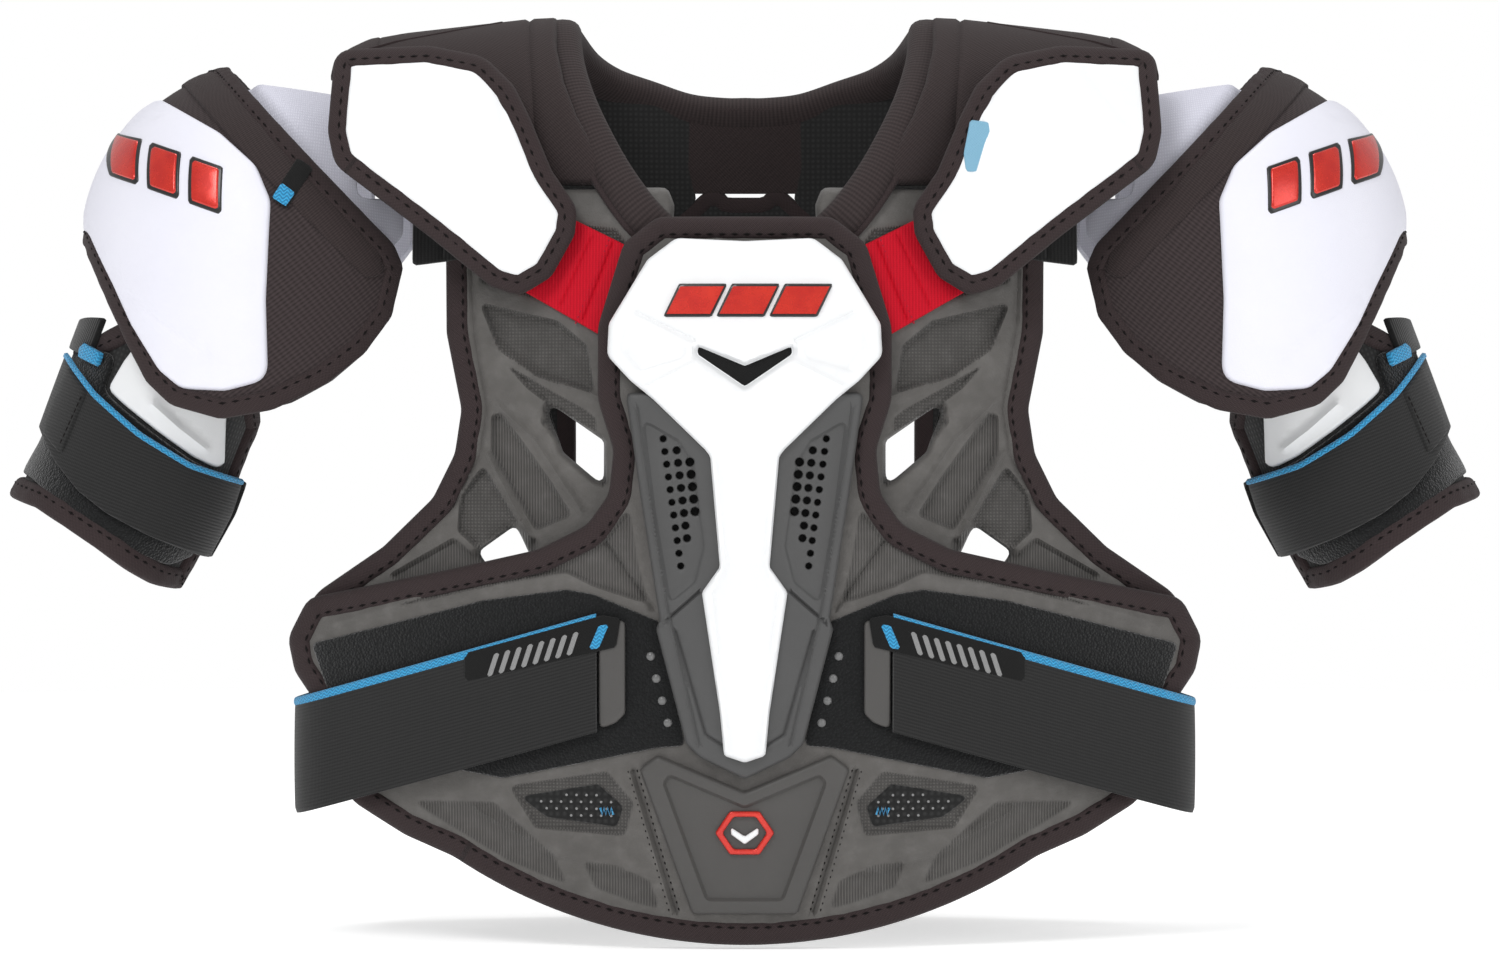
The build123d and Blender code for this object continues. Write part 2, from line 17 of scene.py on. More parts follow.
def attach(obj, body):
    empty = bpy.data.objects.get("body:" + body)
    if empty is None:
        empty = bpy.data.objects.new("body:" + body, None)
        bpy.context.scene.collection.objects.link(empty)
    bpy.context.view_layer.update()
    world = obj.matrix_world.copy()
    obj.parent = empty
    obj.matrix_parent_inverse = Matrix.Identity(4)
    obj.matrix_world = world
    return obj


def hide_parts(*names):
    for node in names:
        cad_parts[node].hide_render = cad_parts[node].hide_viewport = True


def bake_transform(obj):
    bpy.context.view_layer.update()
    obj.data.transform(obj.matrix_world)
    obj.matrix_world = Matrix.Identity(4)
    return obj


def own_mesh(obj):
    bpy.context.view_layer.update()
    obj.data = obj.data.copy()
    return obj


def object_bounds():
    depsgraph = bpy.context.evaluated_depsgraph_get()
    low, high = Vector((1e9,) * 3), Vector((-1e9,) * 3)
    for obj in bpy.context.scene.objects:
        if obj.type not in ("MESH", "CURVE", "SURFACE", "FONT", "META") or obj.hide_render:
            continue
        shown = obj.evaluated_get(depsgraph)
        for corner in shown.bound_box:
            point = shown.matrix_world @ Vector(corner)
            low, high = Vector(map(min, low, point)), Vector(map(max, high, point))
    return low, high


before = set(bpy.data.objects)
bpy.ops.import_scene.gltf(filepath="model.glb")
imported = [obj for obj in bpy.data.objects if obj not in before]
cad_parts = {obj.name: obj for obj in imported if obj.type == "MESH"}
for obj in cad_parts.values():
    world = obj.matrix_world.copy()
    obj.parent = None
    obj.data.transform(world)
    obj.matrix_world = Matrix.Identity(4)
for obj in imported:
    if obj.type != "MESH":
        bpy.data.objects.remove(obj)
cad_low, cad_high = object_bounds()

MM = 0.001

# ---- Dimensions shared with the CAD part
WALL_RADIUS, WALL_AXIS, BULGE_RADIUS, BULGE_Z = 330.0, 235.0, 900.0, -230.0
FOAM_TOP = 11.0
ARCH_IN, ARCH_OUT = (30.0, -53.0, 92.6), (168.0, -33.0, 57.0)       # x, centre height, radius
FLAP_OUT = (186.5, -73.0, 88.0)                                     # the arch's outer flap ends here
CLAVICLE_Z, CLAVICLE_R = -46.0, 87.6
JOINT = np.array([214.0, 0.0, -73.0])
CAP_R, CAP_ANGLE = 80.5, radians(8)
ARM_ANGLE = radians(21)
SLEEVE_R, OVAL_EXTRA = 38.0, 9.0
BEND, FOOT, LEAN = 8.0, 75.0, 10.0                                  # the sleeve's lower end leans out
GUARD = np.array([275.0, 0.0, -168.0])
ARM = np.array([sin(ARM_ANGLE), 0.0, -cos(ARM_ANGLE)])
ACROSS = np.array([cos(ARM_ANGLE), 0.0, sin(ARM_ANGLE)])
CAP_DOWN = np.array([sin(CAP_ANGLE), 0.0, -cos(CAP_ANGLE)])
CAP_ACROSS = np.array([cos(CAP_ANGLE), 0.0, sin(CAP_ANGLE)])

# ---- Layers: the low and the high side of each panel, above the side that faces the wearer
FOAM, SIDE_FOAM, YOKE_FOAM, FLAP = (0.3, 10.6), (0.3, 10.4), (0.3, 10.8), (6.6, 11.0)
ELASTIC, TETHER, CENTRE = (11.4, 13.4), (11.4, 13.6), (11.4, 20.6)
BELLY_MESH, LOOP_CLOTH, BELLY_RUBBER = (18.0, 19.6), (20.8, 22.4), (21.0, 25.2)
MARK_RING, MARK_CHEVRON = (23.6, 25.3), (23.6, 25.2)
# The first layer here holds the near-black sheet of painted shade under the carrier's holes.
HOLE_SHADE_SHEET, CARRIER, BACKING = (22.7, 23.2), (23.4, 27.5), (23.4, 26.6)
SLOT_FLOOR, BREAST_SHELL, BAR_EDGE = (26.7, 27.6), (27.7, 31.2), (31.0, 32.4)
HOOK_TAB, STRAP_LABEL, LABEL_BAR, LABEL_SLASH = (23.0, 25.5), (25.4, 26.6), (26.3, 27.0), (26.3, 26.9)
SPINE_SHELL, ANCHOR = (11.2, 14.6), (11.2, 13.2)
CLAVICLE_PAD, CLAVICLE_SHELL, CLAVICLE_TAB = (0.2, 6.0), (6.2, 8.8), (8.6, 9.4)
CAP_PAD, GUSSET, CAP_SHELL, STRIP = (0.1, 3.6), (3.65, 4.6), (3.7, 6.6), (4.4, 5.9)
CAP_MARK_EDGE, CAP_MARK = (6.8, 8.4), (7.4, 9.0)
CAP_TAG, TAG_STRIPE, BRIDGE = (5.6, 6.7), (6.4, 7.0), (-5.4, -1.0)
SLEEVE_FOAM, SLEEVE_LOOP, SLEEVE_PLATE = (0.2, 5.2), (5.6, 7.4), (5.7, 8.2)
SLEEVE_WEB, STRAP_WEB, STRAP_FOLD, ADJUSTER_END = (8.4, 11.0), (8.6, 11.0), (10.2, 12.4), (9.4, 12.0)


# ---- Surface maps: flat (u, v) and height t to (x, y, z)
def barrel(side):
    """The chest (side 1) or the back (side -1): u is x and v is z."""
    def at(u, v, t):
        r = WALL_RADIUS - BULGE_RADIUS + np.sqrt((BULGE_RADIUS + t) ** 2 - (v - BULGE_Z) ** 2)
        y = WALL_AXIS - np.sqrt(r * r - u * u)
        return np.stack([u, side * y, v + 0 * u], -1)
    return at


def arch_section(x):
    """The arch's centre height and radius over x."""
    x_at, z_at, r_at = zip(ARCH_IN, ARCH_OUT, FLAP_OUT)
    return np.interp(x, x_at, z_at), np.interp(x, x_at, r_at)


def arch(u, v, t):
    """The shoulder arch: u is x, v the length round from the top at the cone's radius, front positive."""
    zc, r = arch_section(u)
    r = r - FOAM_TOP
    angle = v / 80.0
    return np.stack([u, -(r + t) * np.sin(angle), zc + (r + t) * np.cos(angle)], -1)


def clavicle(u, v, t):
    """The clavicle guard: u is x and v is z, over the half round and straight down in front."""
    r = CLAVICLE_R + t
    rise = np.clip((v - CLAVICLE_Z) / r, 0, 0.999)
    return np.stack([u, -r * np.sqrt(1 - rise ** 2), v + 0 * u], -1)


def dome(u, v, t):
    """The shoulder cap: u goes round the arm from the outside, front positive; v along it from the joint."""
    turn = np.where(v < 0, v / CAP_R, 0.0)
    r = CAP_R + t
    around = r * np.cos(turn)
    along = np.where(v < 0, r * np.sin(turn), v)
    angle = u / CAP_R
    side = np.stack([around * np.cos(angle), -around * np.sin(angle), along], -1)
    front = side[..., 1:2] * np.array([0.0, 1.0, 0.0])
    return JOINT + side[..., :1] * CAP_ACROSS + side[..., 2:] * CAP_DOWN + front


def dome_flat(x, z):
    """The (u, v) on the cap's front that is seen at (x, z) from the front."""
    rel = np.array([x - JOINT[0], 0.0, z - JOINT[2]])
    across, along = float(rel @ CAP_ACROSS), float(rel @ CAP_DOWN)
    r = CAP_R + 5.0
    if along < 0:
        turn = np.arcsin(np.clip(along / r, -0.999, 0))
        around, v = r * cos(turn), turn * CAP_R
    else:
        around, v = r, along
    return float(np.arccos(np.clip(across / around, -1, 1))) * CAP_R, v


def sleeve(u, v, t):
    """The biceps guard: u goes round the arm from the outside, front positive; v along the arm."""
    angle = u / (SLEEVE_R + OVAL_EXTRA)
    lean = LEAN * np.clip((v - BEND) / (FOOT - BEND), 0, 1)
    across, forward = (SLEEVE_R + t) * np.cos(angle) + lean, (SLEEVE_R + OVAL_EXTRA + t) * np.sin(angle)
    flat = np.stack([0 * u, -forward, 0 * u], -1)
    return GUARD + across[..., None] * ACROSS + np.asarray(v + 0 * u)[..., None] * ARM + flat


def sleeve_flat(x, z, r):
    """The (u, v) on the sleeve's front, at radius r, that is seen at (x, z); None beyond its outline."""
    rel = np.array([x - GUARD[0], 0.0, z - GUARD[2]])
    along = float(rel @ ARM)
    across = float(rel @ ACROSS) - LEAN * min(max((along - BEND) / (FOOT - BEND), 0), 1)
    if abs(across) > r:
        return None
    return float(np.arccos(across / r)) * (SLEEVE_R + OVAL_EXTRA), along


chest, back = barrel(1), barrel(-1)


# ---- Flat outlines
def resample(points, step, closed=True):
    """Evenly spaced points along a polyline."""
    p = np.asarray(points, float)
    if closed:
        p = np.vstack([p, p[:1]])
    run = length_along(p)
    count = max(3, int(round(run[-1] / step)))
    s = np.linspace(0, run[-1], count + 1)[: count if closed else count + 1]
    return np.stack([np.interp(s, run, p[:, k]) for k in range(p.shape[1])], -1)


def rounded(points, radius=5.0, step=2.0, closed=True):
    """A polyline whose corners are rounded by quadratic curves; a point may give its own radius third."""
    n, out = len(points), []
    for i, point in enumerate(points):
        here = np.array(point[:2], float)
        if not closed and i in (0, n - 1):
            out.append(here)
            continue
        before, after = np.array(points[i - 1][:2], float), np.array(points[(i + 1) % n][:2], float)
        a, b = before - here, after - here
        la, lb = np.linalg.norm(a), np.linalg.norm(b)
        bend = np.arccos(np.clip(a @ b / (la * lb), -1, 1))
        r = point[2] if len(point) > 2 else radius
        cut = min(r / max(np.tan(bend / 2), 0.05), 0.48 * la, 0.48 * lb)
        start, end = here + a / la * cut, here + b / lb * cut
        for k in np.linspace(0, 1, 7):
            out.append((1 - k) ** 2 * start + 2 * k * (1 - k) * here + k * k * end)
    return resample(out, step, closed)


def both_sides(half):
    """A half outline, given from its top to its foot, with its mirror image in front."""
    return [(-p[0],) + tuple(p[1:]) for p in reversed(half) if p[0] > 0] + list(half)


def both(fields):
    """Each field or line, and its mirror image."""
    return [entry for entry in fields for entry in (entry, ([(-x, z) for x, z in entry[0]],) + entry[1:])]


def inward(loop, closed=True):
    """Unit normals that point into a closed loop, or to the left of an open line."""
    ahead, behind = np.roll(loop, -1, 0), np.roll(loop, 1, 0)
    if not closed:
        ahead[-1], behind[0] = loop[-1], loop[0]
    d = ahead - behind
    d /= np.maximum(np.linalg.norm(d, axis=1), 1e-9)[:, None]
    n = np.stack([-d[:, 1], d[:, 0]], -1)
    if closed:
        x, y = loop[:, 0], loop[:, 1]
        if np.sum(x * np.roll(y, -1) - np.roll(x, -1) * y) < 0:
            n = -n
    return n


def inside(p, loop):
    """Whether each point lies in a closed loop."""
    a, b = loop, np.roll(loop, -1, 0)
    hit = np.zeros(len(p), bool)
    for (ax, ay), (bx, by) in zip(a, b):
        crosses = (ay > p[:, 1]) != (by > p[:, 1])
        if crosses.any():
            hit ^= crosses & (p[:, 0] < (bx - ax) * (p[:, 1] - ay) / (by - ay + 1e-12) + ax)
    return hit


def distance(p, line, closed=True):
    """Distance from each point to a polyline."""
    a = line if closed else line[:-1]
    b = np.roll(line, -1, 0) if closed else line[1:]
    d = b - a
    best = np.full(len(p), 1e9)
    square = np.maximum((d * d).sum(1), 1e-12)
    for k in range(0, len(p), 1500):
        q = p[k:k + 1500, None, :] - a[None]
        s = np.clip((q * d[None]).sum(2) / square[None], 0, 1)
        best[k:k + 1500] = np.sqrt(((q - s[..., None] * d[None]) ** 2).sum(2).min(1))
    return best


def step_up(x):
    """Smooth step from 0 to 1 over 0 to 1."""
    x = np.clip(x, 0, 1)
    return x * x * (3 - 2 * x)


UNDER = -1.0        # mask value of a panel's underside
RIM = 0.35          # how far up a panel's side wall goes before its edge rounds over


# ---- Shapes: vertices, faces, and per-vertex flat coordinates and mask
def shape(verts, faces, flat=None, mask=None):
    verts = np.asarray(verts, float)
    flat = np.zeros_like(verts) if flat is None else np.asarray(flat, float)
    mask = np.zeros(len(verts)) if mask is None else np.asarray(mask, float)
    return {"verts": verts, "faces": faces, "flat": flat, "mask": mask}


def joined(shapes):
    """Several shapes as one."""
    start, faces = 0, []
    for s in shapes:
        faces += [tuple(i + start for i in f) for f in s["faces"]]
        start += len(s["verts"])
    return shape(np.vstack([s["verts"] for s in shapes]), faces, np.vstack([s["flat"] for s in shapes]),
                 np.concatenate([s["mask"] for s in shapes]))


def triangulated(loops, extra):
    """A triangle mesh over a region bounded by loops (the first outside, the rest holes)."""
    points, edges = [], []
    for loop in loops:
        k = len(points)
        points += [tuple(p) for p in loop]
        edges += [(k + i, k + (i + 1) % len(loop)) for i in range(len(loop))]
    points += [tuple(p) for p in extra]
    out = delaunay_2d_cdt([Vector(p) for p in points], edges, [], 0, 1e-4)
    p = np.array([tuple(v) for v in out[0]], float)
    faces = np.array([f for f in out[2] if len(f) == 3], int)
    mid = p[faces].mean(1)
    keep = inside(mid, loops[0])
    for hole in loops[1:]:
        keep &= ~inside(mid, hole)
    place = {}
    for new, olds in enumerate(out[3]):
        for old in olds:
            place[old] = new
    faces = faces[keep]
    a, b, c = p[faces[:, 0]], p[faces[:, 1]], p[faces[:, 2]]
    turn = (b[:, 0] - a[:, 0]) * (c[:, 1] - a[:, 1]) - (b[:, 1] - a[:, 1]) * (c[:, 0] - a[:, 0])
    faces[turn < 0] = faces[turn < 0][:, ::-1]
    k, rings = 0, []
    for loop in loops:
        rings.append([place[k + i] for i in range(len(loop))])
        k += len(loop)
    return p, faces, rings


def grid_in(loops, cell, margin):
    """Staggered grid points inside the region, at least margin from its edges."""
    low, high = loops[0].min(0), loops[0].max(0)
    rows = np.arange(low[1], high[1], cell * 0.866)
    points = [np.arange(low[0] + (i % 2) * cell / 2, high[0], cell)[:, None] for i in range(len(rows))]
    p = np.vstack([np.hstack([x, np.full_like(x, row)]) for x, row in zip(points, rows)])
    keep = inside(p, loops[0])
    for hole in loops[1:]:
        keep &= ~inside(p, hole)
    p = p[keep]
    far = np.min([distance(p, loop) for loop in loops], axis=0)
    return p[far > margin]


def patch(outline, at, layer, cell=3.0, edge=3.0, holes=(), relief=None, hole_edge=None):
    """A closed panel of an outline laid on a surface, filling a layer, with rounded edges.

    relief(points, distance from the edge) gives what is added to the top, and a mask for the material.
    """
    low, high = layer
    loops = [outline] + list(holes)
    reach = [edge] + [hole_edge or edge] * len(holes)

    def depth_in(q):
        """Distance in from the nearest edge, where a hole's edge counts by its own rounding."""
        return np.min([distance(q, loop) * edge / r for loop, r in zip(loops, reach)], axis=0)

    extra = []
    for k, loop in enumerate(loops):
        normal = inward(loop) * (1 if k == 0 else -1)
        for share in (0.3, 0.65, 1.0):
            ring = loop + normal * reach[k] * share
            keep = inside(ring, loops[0])
            for hole in loops[1:]:
                keep &= ~inside(ring, hole)
            ring = ring[keep]
            if len(ring):
                extra.append(ring[depth_in(ring) > edge * share * 0.9])
    grid = grid_in(loops, cell, (edge if not hole_edge else hole_edge) + cell * 0.45)
    if hole_edge and len(grid):
        grid = grid[distance(grid, loops[0]) > edge + cell * 0.45]
    for guide in getattr(relief, "guides", ()):
        guide = guide[inside(guide, loops[0])]
        for hole in loops[1:]:
            guide = guide[~inside(guide, hole)]
        if len(guide):
            guide = guide[depth_in(guide) > edge + 0.6]
        if len(guide):
            near = np.full(len(grid), 1e9)
            for k in range(0, len(guide), 200):
                gap = grid[:, None] - guide[None, k:k + 200]
                near = np.minimum(near, np.sqrt((gap ** 2).sum(2)).min(1))
            grid = grid[near > cell * 0.4]
            extra.append(guide)
    extra.append(grid)
    p, faces, rings = triangulated(loops, np.vstack(extra))
    far = depth_in(p)
    curve = np.sqrt(1 - (1 - np.clip(far / edge, 0, 1)) ** 2)
    t = low + (high - low) * (RIM + (1 - RIM) * curve)
    mask = np.zeros(len(p))
    if relief:
        added, mask = relief(p, far)
        t = t + added
    top = at(p[:, 0], p[:, 1], t)
    q, under, feet = triangulated(loops, grid_in(loops, 14.0, 7.0))
    bottom = at(q[:, 0], q[:, 1], np.full(len(q), low))
    n = len(p)
    all_faces = [tuple(int(i) for i in f) for f in faces] + [tuple(int(i) + n for i in f[::-1]) for f in
        under]
    for k, (ring, foot) in enumerate(zip(rings, feet)):
        loop = loops[k]
        x, y = loop[:, 0], loop[:, 1]
        counter = np.sum(x * np.roll(y, -1) - np.roll(x, -1) * y) > 0
        forward = counter if k == 0 else not counter
        for i in range(len(ring)):
            j = (i + 1) % len(ring)
            side = (ring[j], ring[i], foot[i] + n, foot[j] + n)
            all_faces.append(side if forward else side[::-1])
    flat = np.vstack([np.column_stack([p, t]), np.column_stack([q, np.full(len(q), low)])])
    return shape(np.vstack([top, bottom]), all_faces, flat, np.concatenate([mask, np.full(len(q), UNDER)]))


def skin(corners, flat, closed=False):
    """A surface through the runs of a section's corners, with its ends capped if it is open."""
    m, n = len(corners), len(corners[0])
    verts, flat = (np.stack(runs, 1).reshape(-1, 3) for runs in (corners, flat))
    faces = []
    for i in range(n if closed else n - 1):
        a, b = i * m, ((i + 1) % n) * m
        faces += [(a + k, a + (k + 1) % m, b + (k + 1) % m, b + k) for k in range(m)]
    if not closed:
        faces += [tuple(range(m))[::-1], tuple(range((n - 1) * m, n * m))]
    return shape(verts, faces, flat)


def length_along(line):
    """The distance along a polyline at each of its points."""
    return np.concatenate([[0], np.cumsum(np.linalg.norm(np.diff(line, axis=0), axis=1))])


def swept(line, at, section, closed=True, wrinkle=0.0):
    """A closed section of (inset, height) points carried along a flat line, ends capped if it is open."""
    normal = inward(line, closed)
    section = np.asarray(section, float)
    middle = section.mean(0)
    run, around = length_along(line), length_along(section)
    waves = wrinkle * (np.sin(run / 2.9) + np.sin(run / 1.7 + 1.3) + np.sin(run / 5.3 + 0.4)) / 2
    verts, flat = [], []
    for (inset, height), place in zip(section, around):
        t = middle[1] + (height - middle[1]) * (1 + waves * (height > middle[1]))
        p = line + normal * inset
        verts.append(at(p[:, 0], p[:, 1], t + 0 * run))
        flat.append(np.column_stack([run, place + 0 * run, t + 0 * run]))
    return skin(verts, flat, closed)


TAPE_LAP, TAPE_SQUARE = 1.4, 0.55       # how far a tape stands out past an edge; 1 would be an oval


def tape_section(width, low, high):
    """A rounded flat section that wraps a panel's edge."""
    a = np.linspace(0, 2 * pi, 18, endpoint=False)
    c, s = np.cos(a), np.sin(a)
    mid, half = (width - TAPE_LAP) / 2, (width + TAPE_LAP) / 2
    d = mid + half * np.sign(c) * np.abs(c) ** TAPE_SQUARE
    t = (low + high) / 2 + (high - low) / 2 * np.sign(s) * np.abs(s) ** TAPE_SQUARE
    return np.column_stack([d, t])


THREAD = 0.5        # half a stitch's thickness


def stitched(line, at, t, closed=True, length=3.4, pitch=5.4, width=1.2):
    """A row of thread stitches along a flat line."""
    dense = resample(line, pitch / 6, closed)
    normal = inward(dense, closed)
    span = int(round(6 * length / pitch))
    verts, faces = [], []
    for k in range(0, len(dense) - span, 6):
        a, m, b = dense[k], dense[k + span // 2], dense[k + span]
        side = normal[k + span // 2] * width / 2
        points = [(a, t), (b, t), (m + side, t), (m - side, t), (m, t + THREAD), (m, t - THREAD)]
        k0 = len(verts)
        verts += [at(np.array([p[0]]), np.array([p[1]]), np.array([h]))[0] for p, h in points]
        for i, j in ((2, 4), (4, 3), (3, 5), (5, 2)):
            faces += [(k0, k0 + i, k0 + j), (k0 + 1, k0 + j, k0 + i)]
    return shape(verts, faces, np.array(verts))


def ribbon(upper, lower, outward, thick, columns=14, bulge=0.0):
    """A strap between two space curves, thick on both sides of their surface."""
    upper, lower, outward = (np.asarray(a, float) for a in (upper, lower, outward))
    run = length_along((upper + lower) / 2)
    width = np.linalg.norm(upper - lower, axis=1)
    shares = (1 - np.cos(np.linspace(0, pi, columns + 1))) / 2 * 0.4 + np.linspace(0, 1, columns + 1) * 0.6
    verts, flat = [], []
    for sign, order in ((1, shares), (-1, shares[::-1])):
        for share in order:
            edge = min(share, 1 - share)
            half = thick / 2 * sqrt(min(1.0, 0.15 + edge * 18))
            p = upper + (lower - upper) * share + outward * (sign * half + bulge * 4 * share * (1 - share))
            verts.append(p)
            flat.append(np.column_stack([run, share * width, sign * half + 0 * run]))
    return skin(verts, flat)


def tube(path, across, outward, wide, tall, count=16, square=1.0):
    """A round or flattened tube along a space curve; wide runs along `across`, tall along `outward`."""
    path, across, outward = (np.asarray(a, float) for a in (path, across, outward))
    run = length_along(path)
    verts, flat = [], []
    for k in range(count):
        a = 2 * pi * k / count
        c, s = (np.sign(part) * abs(part) ** square for part in (cos(a), sin(a)))
        verts.append(path + across * (c * wide) + outward * (s * tall))
        flat.append(np.column_stack([run, a * wide + 0 * run, tall + 0 * run]))
    return skin(verts, flat)


def dots(places, at, t, radius, height, count=10):
    """Small domes on a surface."""
    shapes = []
    angles = np.linspace(0, 2 * pi, count, endpoint=False)
    for x, z in places:
        verts, faces = [], []
        for share, rise in ((1.0, 0.0), (0.8, 0.6), (0.45, 0.92)):
            ring = np.stack([x + radius * share * np.cos(angles), z + radius * share * np.sin(angles)], -1)
            verts += list(at(ring[:, 0], ring[:, 1], np.full(count, t + height * rise)))
        verts.append(at(np.array([x]), np.array([z]), np.array([t + height]))[0])
        for level in range(2):
            for k in range(count):
                l = (k + 1) % count
                faces.append((level * count + k, level * count + l, (level + 1) * count + l,
                              (level + 1) * count + k))
        faces += [(2 * count + k, 2 * count + (k + 1) % count, 3 * count) for k in range(count)]
        faces.append(tuple(range(count))[::-1])
        shapes.append(shape(verts, faces, np.array(verts)))
    return joined(shapes)


def strand(line, at, t, radius):
    """A round thread along a flat line."""
    angles = np.linspace(0, 2 * pi, 6, endpoint=False)
    section = np.column_stack([radius * np.cos(angles), t + radius * np.sin(angles)])
    return swept(np.asarray(line, float), at, section, closed=False)


def circle(x, z, radius):
    angles = np.linspace(0, 2 * pi, 12, endpoint=False)
    return np.stack([x + radius * np.cos(angles), z + radius * np.sin(angles)], -1)


def smooth_path(points, step=2.0):
    """An even curve through space points (Catmull-Rom)."""
    p = np.asarray(points, float)
    p = np.vstack([2 * p[0] - p[1], p, 2 * p[-1] - p[-2]])
    out = []
    for i in range(1, len(p) - 2):
        for k in np.linspace(0, 1, 16, endpoint=False):
            a, b, c, d = p[i - 1], p[i], p[i + 1], p[i + 2]
            out.append(0.5 * (2 * b + (c - a) * k + (2 * a - 5 * b + 4 * c - d) * k ** 2
                              + (3 * b - a - 3 * c + d) * k ** 3))
    out.append(p[-2])
    return resample(out, step, closed=False)


# ---- Materials
class Graph:
    """A procedural material whose patterns are worked out in millimetres."""

    def __init__(self, name, coords="flat"):
        self.material = bpy.data.materials.new(name)
        self.material.use_nodes = True
        self.tree = self.material.node_tree
        self.tree.nodes.clear()
        self.shader = self.node("ShaderNodeBsdfPrincipled")
        out = self.node("ShaderNodeOutputMaterial")
        self.link(self.shader.outputs[0], out.inputs[0])
        if coords == "flat":
            source = self.node("ShaderNodeAttribute")
            source.attribute_name = "flat"
            self.place = source.outputs["Vector"]
        else:
            source = self.node("ShaderNodeTexCoord")
            grown = self.node("ShaderNodeVectorMath")
            grown.operation = "SCALE"
            grown.inputs["Scale"].default_value = 1 / MM
            self.link(source.outputs["Object"], grown.inputs[0])
            self.place = grown.outputs[0]
        parts = self.node("ShaderNodeSeparateXYZ")
        self.link(self.place, parts.inputs[0])
        self.x, self.y, self.z = parts.outputs
        masked = self.node("ShaderNodeAttribute")
        masked.attribute_name = "mask"
        self.mask = self.math("MAXIMUM", masked.outputs["Fac"], 0.0)

    def node(self, kind):
        return self.tree.nodes.new(kind)

    def link(self, a, b):
        if isinstance(a, (int, float)):
            b.default_value = a
        else:
            self.tree.links.new(a, b)

    def math(self, operation, a, b=0.0, c=0.0):
        n = self.node("ShaderNodeMath")
        n.operation = operation
        for value, socket in zip((a, b, c), n.inputs):
            self.link(value, socket)
        return n.outputs[0]

    def wave(self, along, period):
        """0 to 1 and back over each period."""
        turned = self.math("MULTIPLY_ADD", along, 2 * pi / period)
        return self.math("MULTIPLY_ADD", self.math("SINE", turned), 0.5, 0.5)

    def noise(self, size, detail=3.0, rough=0.55):
        n = self.node("ShaderNodeTexNoise")
        self.link(self.place, n.inputs["Vector"])
        n.inputs["Scale"].default_value = 1 / size
        n.inputs["Detail"].default_value = detail
        n.inputs["Roughness"].default_value = rough
        return n.outputs["Fac"]

    def cells(self, size):
        n = self.node("ShaderNodeTexVoronoi")
        self.link(self.place, n.inputs["Vector"])
        n.inputs["Scale"].default_value = 1 / size
        return n.outputs["Distance"]

    def between(self, share, low, high):
        """A number from low to high by a share."""
        return self.math("MULTIPLY_ADD", share, high - low, low)

    def chosen(self, share, a, b):
        """Mix two sockets or numbers by a share."""
        n = self.node("ShaderNodeMix")
        n.clamp_factor = True
        self.link(share, n.inputs[0])
        self.link(a, n.inputs[2])
        self.link(b, n.inputs[3])
        return n.outputs[0]

    def colours(self, share, a, b):
        """Mix two colours, or colour sockets, by a share."""
        n = self.node("ShaderNodeMix")
        n.data_type = "RGBA"
        n.clamp_factor = True
        self.link(share, n.inputs[0])
        for value, socket in ((a, n.inputs[6]), (b, n.inputs[7])):
            if isinstance(value, tuple):
                socket.default_value = (*value, 1)
            else:
                self.tree.links.new(value, socket)
        return n.outputs[2]

    def done(self, colour, rough, height=None, depth=0.1, specular=0.3, sheen=0.0, sheen_tint=(1, 1, 1),
             coat=0.0, metallic=0.0, through=0.0):
        s = self.shader.inputs
        self.tree.links.new(colour, s["Base Color"])
        self.link(rough, s["Roughness"])
        s["Specular IOR Level"].default_value = specular
        s["Sheen Weight"].default_value = sheen
        s["Sheen Roughness"].default_value = 0.5
        s["Sheen Tint"].default_value = (*sheen_tint, 1)
        s["Coat Weight"].default_value = coat
        s["Coat Roughness"].default_value = 0.2
        s["Metallic"].default_value = metallic
        s["Transmission Weight"].default_value = through
        if height is not None:
            bump = self.node("ShaderNodeBump")
            bump.inputs["Distance"].default_value = depth * MM
            self.tree.links.new(height, bump.inputs["Height"])
            self.tree.links.new(bump.outputs[0], s["Normal"])
        return self.material


def grey(value, warm=0.0):
    """A near-neutral linear colour, warmer when warm is positive."""
    return (value * (1 + warm), value, value * (1 - warm))


def foam_material(name):
    """Moulded foam under a stretched knit: smooth where raised, ribbed or meshed where sunk, with painted
    shade darkening the low parts of the pattern, a little on smooth foam and most in the sunk fields.
    """
    g = Graph(name)
    ribs = g.wave(g.x, 1.25)
    rows = g.math("MULTIPLY", g.wave(g.x, 1.5), g.wave(g.y, 1.5))
    plain = g.noise(0.9, 4.0)
    is_mesh = g.math("GREATER_THAN", g.mask, 1.5)
    sunk = g.math("MINIMUM", g.mask, 1.0)
    pattern = g.chosen(is_mesh, ribs, rows)
    height = g.chosen(sunk, plain, pattern)
    broad = g.noise(26.0)
    base = g.colours(broad, FOAM_DARK, FOAM_LIGHT)
    worn = g.math("MULTIPLY", g.math("POWER", g.noise(7.0, 5.0), 3.0), 0.8)
    base = g.colours(worn, base, FOAM_WORN)
    # Painted shade: the colour is pulled towards near black where the pattern is low, a little on smooth
    # foam and more in the sunk fields.
    shade = g.math("MULTIPLY", g.math("SUBTRACT", 1.0, height), g.between(sunk, 0.1, 0.55))
    base = g.colours(shade, base, FOAM_PAINTED_SHADE)
    return g.done(base, g.between(plain, 0.42, 0.62), height, 0.28, specular=0.22, sheen=0.12)


